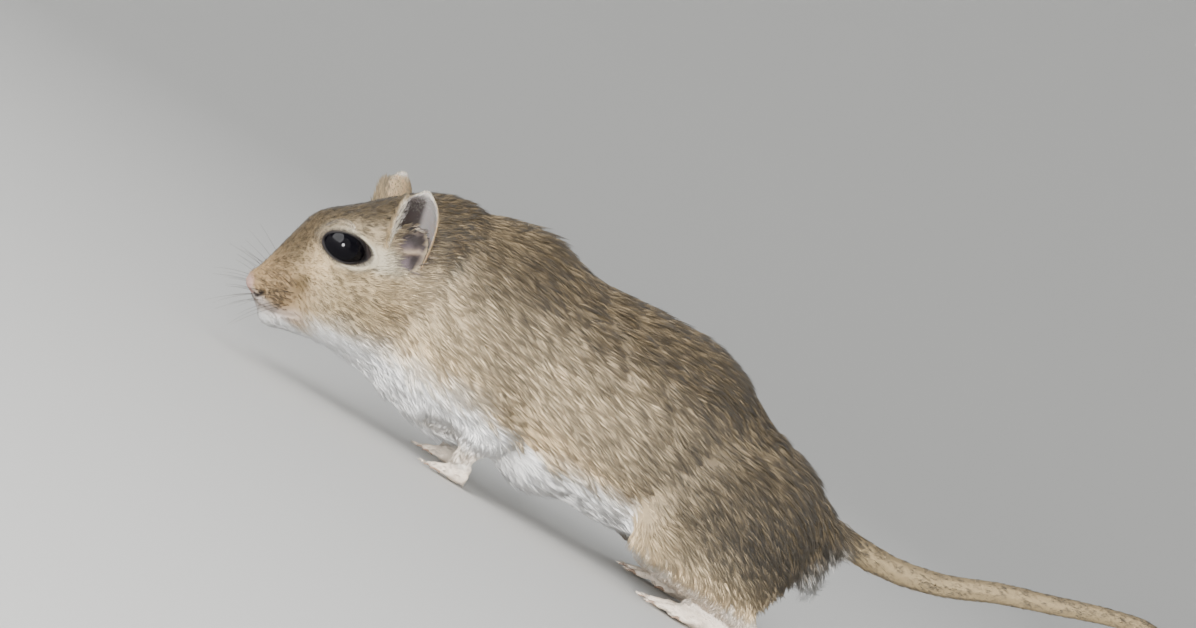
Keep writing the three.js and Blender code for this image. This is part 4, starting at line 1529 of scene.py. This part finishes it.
def tube_arrays(path: Array, radii: Array, sides: int, closed: bool) -> tuple[Array, Array]:
    """Makes the points and faces of a tube along a path.

    Args:
        path: Points along its middle.
        radii: Its radius at each point.
        sides: How many sides it has.
        closed: Whether its ends join.

    Returns:
        Points and triangles.
    """
    count = len(path)
    ahead = np.roll(path, -1, axis=0)
    before = np.roll(path, 1, axis=0)
    if not closed:
        ahead[-1] = path[-1]
        before[0] = path[0]
    along = unit(ahead - before)
    reference = np.array([0.13, 0.21, 1.0]) if abs(along[0, 2]) < 0.8 else np.array([1.0, 0.17, 0.1])
    first = unit(np.cross(along, reference))
    second = np.cross(along, first)
    turn = np.linspace(0.0, 2.0 * math.pi, sides, endpoint=False)
    ring = np.cos(turn)[None, :, None] * first[:, None] + np.sin(turn)[None, :, None] * second[:, None]
    points = (path[:, None] + ring * radii[:, None, None]).reshape(-1, 3)
    faces = []
    for step in range(count if closed else count - 1):
        after = (step + 1) % count
        for edge in range(sides):
            beside = (edge + 1) % sides
            a = step * sides + edge
            b = step * sides + beside
            c = after * sides + beside
            d = after * sides + edge
            faces += [(a, b, c), (a, c, d)]
    if not closed:
        for edge in range(1, sides - 1):
            faces.append((0, edge + 1, edge))
            last = (count - 1) * sides
            faces.append((last, last + edge, last + edge + 1))
    return points, np.array(faces)


@dataclass
class Ear:
    """One ear: a leaf rolled into a cup, bare inside and downy outside.

    Attributes:
        side: The ear's side.
        rows: Steps along it.
        columns: Steps across it.
        tufts: How many tufts of down it carries.
    """

    side: Side
    rows: int = 30
    columns: int = 28
    tufts: int = 9000
    base: Array = field(init=False)
    lean: Array = field(init=False)
    facing: Array = field(init=False)
    forwards: Array = field(init=False)

    def __post_init__(self) -> None:
        """Works out the ear's axes, in the animal's own."""
        mirror = np.array([1.0, self.side.value, 1.0])
        lean = unit(np.array(EAR.lean) * mirror)
        facing = np.array(EAR.facing) * mirror
        facing = unit(facing - lean * (facing @ lean))
        across = np.cross(lean, facing)
        self.base = HEAD.turned(np.array([EAR.base]) * mirror)[0]
        self.lean = HEAD.turned_directions(lean)
        self.facing = HEAD.turned_directions(facing)
        self.forwards = HEAD.turned_directions(across if across[0] < 0.0 else -across)

    def leaf(self, u: Array, v: Array) -> Array:
        """The middle surface of the ear.

        Args:
            u: From -1 at the back edge to 1 at the front edge.
            v: From 0 at the root to 1 at the tip.

        Returns:
            Points in the animal's axes.
        """
        widest = 0.42
        upper = np.sqrt(np.maximum(1.0 - ((v - widest) / (1.0 - widest)) ** 4, 0.1))
        half = EAR.width / 2 * np.where(v < widest, 0.88 + 0.12 * v / widest, upper)
        roll = 1.15 + 0.75 * (1.0 - v)
        radius = half / np.sin(np.minimum(roll, math.pi / 2))
        turn = u * roll
        depth = radius * (1.0 - np.cos(turn)) - 2.2 + 1.2 * v * v
        rise = EAR.height * v * (1.0 - 0.05 * u * u) - 1.2
        offsets = np.stack([rise, radius * np.sin(turn), depth], axis=-1)
        return self.base + offsets @ np.stack([self.lean, self.forwards, self.facing])

    def build(self) -> list[bpy.types.Object]:
        """Builds the ear and its down.

        Returns:
            The ear and its pieces of down.
        """
        shape = bmesh.new()
        bmesh.ops.create_grid(shape, x_segments=self.columns, y_segments=self.rows, size=1.0)
        grid = np.array([vert.co[:2] for vert in shape.verts])
        v = np.sin((grid[:, 1] + 1.0) / 2.0 * math.pi / 2)
        for vert, point in zip(shape.verts, self.leaf(grid[:, 0], v)):
            vert.co = point
        name = f"ear_skin_{self.side.label}"
        leaf = from_bmesh(name, shape)
        wall = leaf.modifiers.new("wall", "SOLIDIFY")
        wall.thickness = EAR.thickness * METRES_PER_MM
        wall.offset = 0.0
        soft = leaf.modifiers.new("soft", "SUBSURF")
        soft.levels = 1
        soft.render_levels = 1
        solid = bpy.data.meshes.new_from_object(leaf.evaluated_get(bpy.context.evaluated_depsgraph_get()))
        bpy.data.objects.remove(leaf)
        surface = Surface.read(solid)
        obj = store_mesh(name, surface.points, surface.faces)
        inner, height, ahead = self.places(surface)
        paint_points(obj, self.colours(inner, height, ahead))
        dressed(obj, BARE_EAR.material())
        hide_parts(f"ear_{self.side.label}")
        return [obj, *self.down(obj, surface, inner, height, ahead)]

    def places(self, surface: Surface) -> tuple[Array, Array, Array]:
        """Finds what lies inside the cup, how high each point is and how far to the front.

        Args:
            surface: The ear's arrays.

        Returns:
            Share of the inside, height from the root from 0 to 1, and distance forwards in mm.
        """
        offsets = surface.points - self.base
        rise = offsets @ self.lean
        height = np.clip((rise + 1.2) / EAR.height, 0.0, 1.0)
        axis = self.base + np.outer(rise, self.lean) + self.facing * 1.6
        inwards = np.sum(unit(axis - surface.points) * surface.normals(), axis=1)
        return ramp(-0.1, 0.4, inwards), height, offsets @ self.forwards

    @staticmethod
    def colours(inner: Array, height: Array, ahead: Array) -> Array:
        """The ear's colours: grey inside with painted shadow over the front half of the inside and painted
        shade low in the cup, pale at the rim.
        """
        count = len(inner)
        outside = np.broadcast_to(linear(150, 128, 98), (count, 3))
        lining = np.broadcast_to(linear(126, 120, 118), (count, 3))
        # Painted shadow over the front half of the inside, and painted shade low in the cup.
        front_shadow = ramp(-0.9, 0.3, ahead) * (1.0 - ramp(3.0, 3.7, ahead))
        cup_shade = np.maximum(front_shadow, 1.0 - ramp(0.3, 0.5, height))
        lining = Markings.blend(lining, MARKINGS.dark, cup_shade * (1.0 - ramp(0.86, 0.95, height)))
        colour = Markings.blend(outside, lining, inner)
        return Markings.blend(colour, linear(192, 183, 174), ramp(0.93, 0.985, height))

    def down(
        self, obj: bpy.types.Object, surface: Surface, inner: Array, height: Array, ahead: Array
    ) -> list[bpy.types.Object]:
        """Grows short down over the ear, longest along its front edge.

        Args:
            obj: The ear's object.
            surface: Its arrays.
            inner: Share of the inside.
            height: Height from the root.
            ahead: Distance forwards.

        Returns:
            The pieces of down.
        """
        normals = surface.normals()
        flow = unit(self.lean - normals * (normals @ self.lean)[:, None])
        count = len(surface.points)
        tan = np.broadcast_to(linear(158, 137, 102), (count, 3))
        pale = np.maximum(ramp(0.8, 0.97, height), ramp(1.8, 3.0, ahead) * inner)
        colours = Markings.blend(tan, linear(214, 205, 186), pale)
        colours = Markings.blend(colours, linear(190, 184, 178), inner * (1.0 - ramp(2.6, 3.2, ahead)))
        edge = ramp(2.0, 3.4, ahead) * (1.0 - ramp(0.8, 0.95, height))
        coat = CoatMap(
            surface=surface,
            normals=normals,
            colours=colours,
            flow=flow,
            length=1.4 - 0.8 * height - 0.5 * inner + 1.5 * edge,
            width=np.full(count, 0.12),
            lift=12.0 + 6.0 * edge,
            cover=np.maximum(4.0 * (1.0 - inner) + 9.0 * edge + 0.4 * inner * ramp(0.5, 0.9, height), 0.01),
            uv=unwrapped(obj),
        )
        total = self.tufts
        tufts = Tufts(form=TuftForm.STRAIGHT, seed=21 + self.side.value)
        return tufts.grow(f"down_{self.side.label}", coat, total)


@dataclass
class Whiskers:
    """The whiskers of both pads."""

    seed: int = 5
    rows: int = 4
    in_row: int = 5
    longest: float = 18.0
    radius: float = 0.045
    steps: int = 9

    def build(self) -> bpy.types.Object:
        """Builds all whiskers as one piece of thin tapered tubes."""
        draw = np.random.default_rng(self.seed)
        points = []
        faces = []
        used = 0
        for side in Side:
            for row in range(self.rows):
                for place in range(self.in_row):
                    tube_points, tube_faces = self.whisker(side, row, place, draw)
                    points.append(tube_points)
                    faces.append(tube_faces + used)
                    used += len(tube_points)
        obj = store_mesh("whiskers", np.concatenate(points), np.concatenate(faces))
        log.info("whiskers: %d", 2 * self.rows * self.in_row)
        return dressed(obj, WHISKER.material())

    def whisker(self, side: Side, row: int, place: int, draw: np.random.Generator) -> tuple[Array, Array]:
        """Makes one whisker.

        Args:
            side: The side it grows on.
            row: Its row, from the top.
            place: Its place in the row, from the front.
            draw: The random draw.

        Returns:
            Points and triangles.
        """
        s = side.value
        back = place / (self.in_row - 1)
        low = row / (self.rows - 1)
        root = np.array([-104.4 + 3.6 * back, s * (3.3 + 1.5 * back), 13.8 - 3.6 * low + 1.2 * back])
        heading = np.array([-0.95 + 0.35 * back, s * (0.42 + 0.2 * back), 0.3 - 0.65 * low])
        heading = unit(heading + draw.normal(0.0, 0.08, 3))
        length = self.longest * (0.42 + 0.58 * back) * draw.uniform(0.8, 1.0)
        bend = np.array([0.25, 0.0, -0.25]) * draw.uniform(0.6, 1.3)
        share = np.linspace(0.0, 1.0, self.steps)[:, None]
        path = root + heading * length * share + bend * length * share**2 * 0.5
        path[:, 2] = np.maximum(path[:, 2], 1.0)
        radii = self.radius * (1.0 - 0.85 * share[:, 0])
        return tube_arrays(HEAD.turned(path), radii, 4, closed=False)


@dataclass
class Claws:
    """The claws of all four feet, one at the end of each toe."""

    radius: float = 0.36
    steps: int = 7

    def toes(self, side: Side) -> list[tuple[Array, float, float]]:
        """Lists each toe's root, heading and length.

        Args:
            side: The side of the feet.

        Returns:
            Root, heading in degrees from straight ahead, and length.
        """
        s = side.value
        listed = []
        hind = [
            (-9.5, -0.3, 14, 0.14),
            (-13.2, 0.0, 6, 0.22),
            (-13.8, 1.7, 0, 0.24),
            (-13.2, 3.4, -7, 0.22),
            (-10.0, 3.6, -16, 0.16),
        ]
        for x, across, heading, share in hind:
            listed.append((np.array([x, s * (12.6 + across), 1.5]), -s * heading, 27.0 * share))
        for number, heading in enumerate((-18, -6, 6, 18)):
            wave = math.sin(math.pi * number / 3)
            root = np.array([-60.6 - 0.6 * wave, s * (10.0 + (number - 1.5) * 1.2), 1.3])
            listed.append((root, -s * heading, 8.5 * (0.26 + 0.07 * wave)))
        return listed

    def build(self) -> bpy.types.Object:
        """Builds all claws as one piece."""
        points = []
        faces = []
        used = 0
        for side in Side:
            for root, heading, length in self.toes(side):
                aim = np.array([-math.cos(math.radians(heading)), math.sin(math.radians(heading)), 0.0])
                share = np.linspace(0.0, 1.0, self.steps)
                path = root + aim * (length - 0.1 + 2.0 * share)[:, None]
                path[:, 2] = 0.72 + 0.25 * np.sin(math.pi * share) - 0.4 * share
                radii = self.radius * np.sqrt(np.maximum(1.0 - share, 0.02))
                claw_points, claw_faces = tube_arrays(path, radii, 8, closed=False)
                points.append(claw_points)
                faces.append(claw_faces + used)
                used += len(claw_points)
        obj = store_mesh("claws", np.concatenate(points), np.concatenate(faces))
        return dressed(obj, HORN.material())


# Stage, light and camera


@dataclass
class Studio:
    """A pale bowl of backdrop with soft lights and the photograph's camera."""

    floor_radius: float = 0.7
    bend_radius: float = 1.5
    wall_height: float = 2.2
    mm_per_pixel: float = 0.176
    roll_degrees: float = 32.0
    foot_pixel: tuple[float, float] = (735.0, 652.0)
    distance: float = 0.6
    azimuth_degrees: float = 6.0
    elevation_degrees: float = 8.0
    target: tuple[float, float, float] = (-50.0, 0.0, 24.0)
    sensor_width: float = 36.0

    def build(self) -> None:
        """Builds the backdrop, the lights and the camera."""
        self.backdrop()
        self.lights()
        self.camera()

    def backdrop(self) -> None:
        """Spins a floor that bends up into a wall all round."""
        shape = bmesh.new()
        profile = [(0.0, 0.0), (self.floor_radius * 0.5, 0.0), (self.floor_radius, 0.0)]
        for step in range(1, 13):
            angle = step / 12 * math.pi / 2
            x = self.floor_radius + self.bend_radius * math.sin(angle)
            z = self.bend_radius * (1.0 - math.cos(angle))
            profile.append((x, z))
        profile.append((self.floor_radius + self.bend_radius, self.wall_height))
        verts = [shape.verts.new((x, 0.0, z)) for x, z in profile]
        edges = [shape.edges.new(pair) for pair in zip(verts[:-1], verts[1:])]
        bmesh.ops.spin(
            shape,
            geom=[*verts, *edges],
            axis=(0, 0, 1),
            cent=(0, 0, 0),
            angle=2 * math.pi,
            steps=72,
            use_merge=True,
        )
        bmesh.ops.remove_doubles(shape, verts=shape.verts, dist=0.00001)
        bmesh.ops.recalc_face_normals(shape, faces=shape.faces)
        bmesh.ops.reverse_faces(shape, faces=shape.faces)
        for face in shape.faces:
            face.smooth = True
        mesh = bpy.data.meshes.new("backdrop")
        shape.to_mesh(mesh)
        shape.free()
        obj = bpy.data.objects.new("backdrop", mesh)
        obj.data.materials.append(BACKDROP.material())
        bpy.context.scene.collection.objects.link(obj)

    def lights(self) -> None:
        """Hangs the soft lights and sets the faint light of the room."""
        self.lamp("key", (-1.0, -0.8, 0.5), 1.4, 40.0)
        self.lamp("fill", (-0.1, -1.3, 0.3), 1.6, 7.0)
        self.lamp("top", (-0.2, 0.1, 1.2), 0.9, 3.0)
        self.lamp("catch", (-0.15, -0.8, 0.13), 0.2, 8.0)
        world = bpy.data.worlds.new("room")
        world.use_nodes = True
        world.node_tree.nodes["Background"].inputs["Color"].default_value = (0.9, 0.95, 1.0, 1.0)
        world.node_tree.nodes["Background"].inputs["Strength"].default_value = 0.55
        bpy.context.scene.world = world

    @staticmethod
    def lamp(name: str, place: tuple[float, float, float], size: float, power: float) -> None:
        """Hangs one soft lamp that points at the animal.

        Args:
            name: The lamp's name.
            place: Where it hangs, in metres.
            size: Its width, in metres.
            power: Its power, in watts.
        """
        data = bpy.data.lights.new(name, "AREA")
        data.shape = "DISK"
        data.size = size
        data.energy = power
        obj = bpy.data.objects.new(name, data)
        obj.location = place
        aim = Vector((-0.03, 0.0, 0.02)) - Vector(place)
        obj.rotation_euler = aim.to_track_quat("-Z", "Y").to_euler()
        obj.visible_camera = False
        bpy.context.scene.collection.objects.link(obj)

    def camera(self) -> None:
        """Sets the camera at the photograph's angle, rolled as the floor in it slopes."""
        roll = math.radians(self.roll_degrees)
        right = Vector((math.cos(roll), 0.0, math.sin(roll)))
        up = Vector((-math.sin(roll), 0.0, math.cos(roll)))
        azimuth = math.radians(self.azimuth_degrees)
        elevation = math.radians(self.elevation_degrees)
        look = Vector((0.0, 1.0, 0.0)) * math.cos(elevation) * math.cos(azimuth)
        look += right * math.sin(azimuth) * math.cos(elevation)
        look -= up * math.sin(elevation)
        look.normalize()
        side = look.cross(up).normalized()
        top = side.cross(look)
        target = Vector(self.target)
        seen_x = self.foot_pixel[0] + target.dot(right) / self.mm_per_pixel
        seen_y = self.foot_pixel[1] - target.dot(up) / self.mm_per_pixel
        data = bpy.data.cameras.new("camera")
        data.sensor_width = self.sensor_width
        data.lens = self.distance / METRES_PER_MM / self.mm_per_pixel / PHOTO_WIDTH * self.sensor_width
        data.shift_x = (PHOTO_WIDTH / 2 - seen_x) / PHOTO_WIDTH
        data.shift_y = (seen_y - PHOTO_HEIGHT / 2) / PHOTO_WIDTH
        data.clip_start = 0.01
        data.clip_end = 20.0
        data.dof.use_dof = False
        obj = bpy.data.objects.new("camera", data)
        place = Vector(PLACE.to_frame(np.array(self.target))) - look * self.distance
        turn = Matrix((side, top, -look)).transposed().to_4x4()
        obj.matrix_world = Matrix.Translation(place) @ turn
        bpy.context.scene.collection.objects.link(obj)
        bpy.context.scene.camera = obj
        log.info("camera at %s", tuple(round(value, 3) for value in place))


def main() -> None:
    """Builds the gerbil piece by piece."""
    logging.basicConfig(level=logging.INFO, format="%(name)s: %(message)s")
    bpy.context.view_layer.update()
    Studio().build()
    skin = Skin()
    skin_object = skin.build()
    for side in Side:
        for piece in Eye(side).build(skin):
            log.info("built %s", piece.name)
        for piece in Ear(side).build():
            log.info("built %s", piece.name)
    Claws().build()
    Whiskers().build()
    Coat().build(skin, skin_object)


if __name__ == "__main__":
    main()
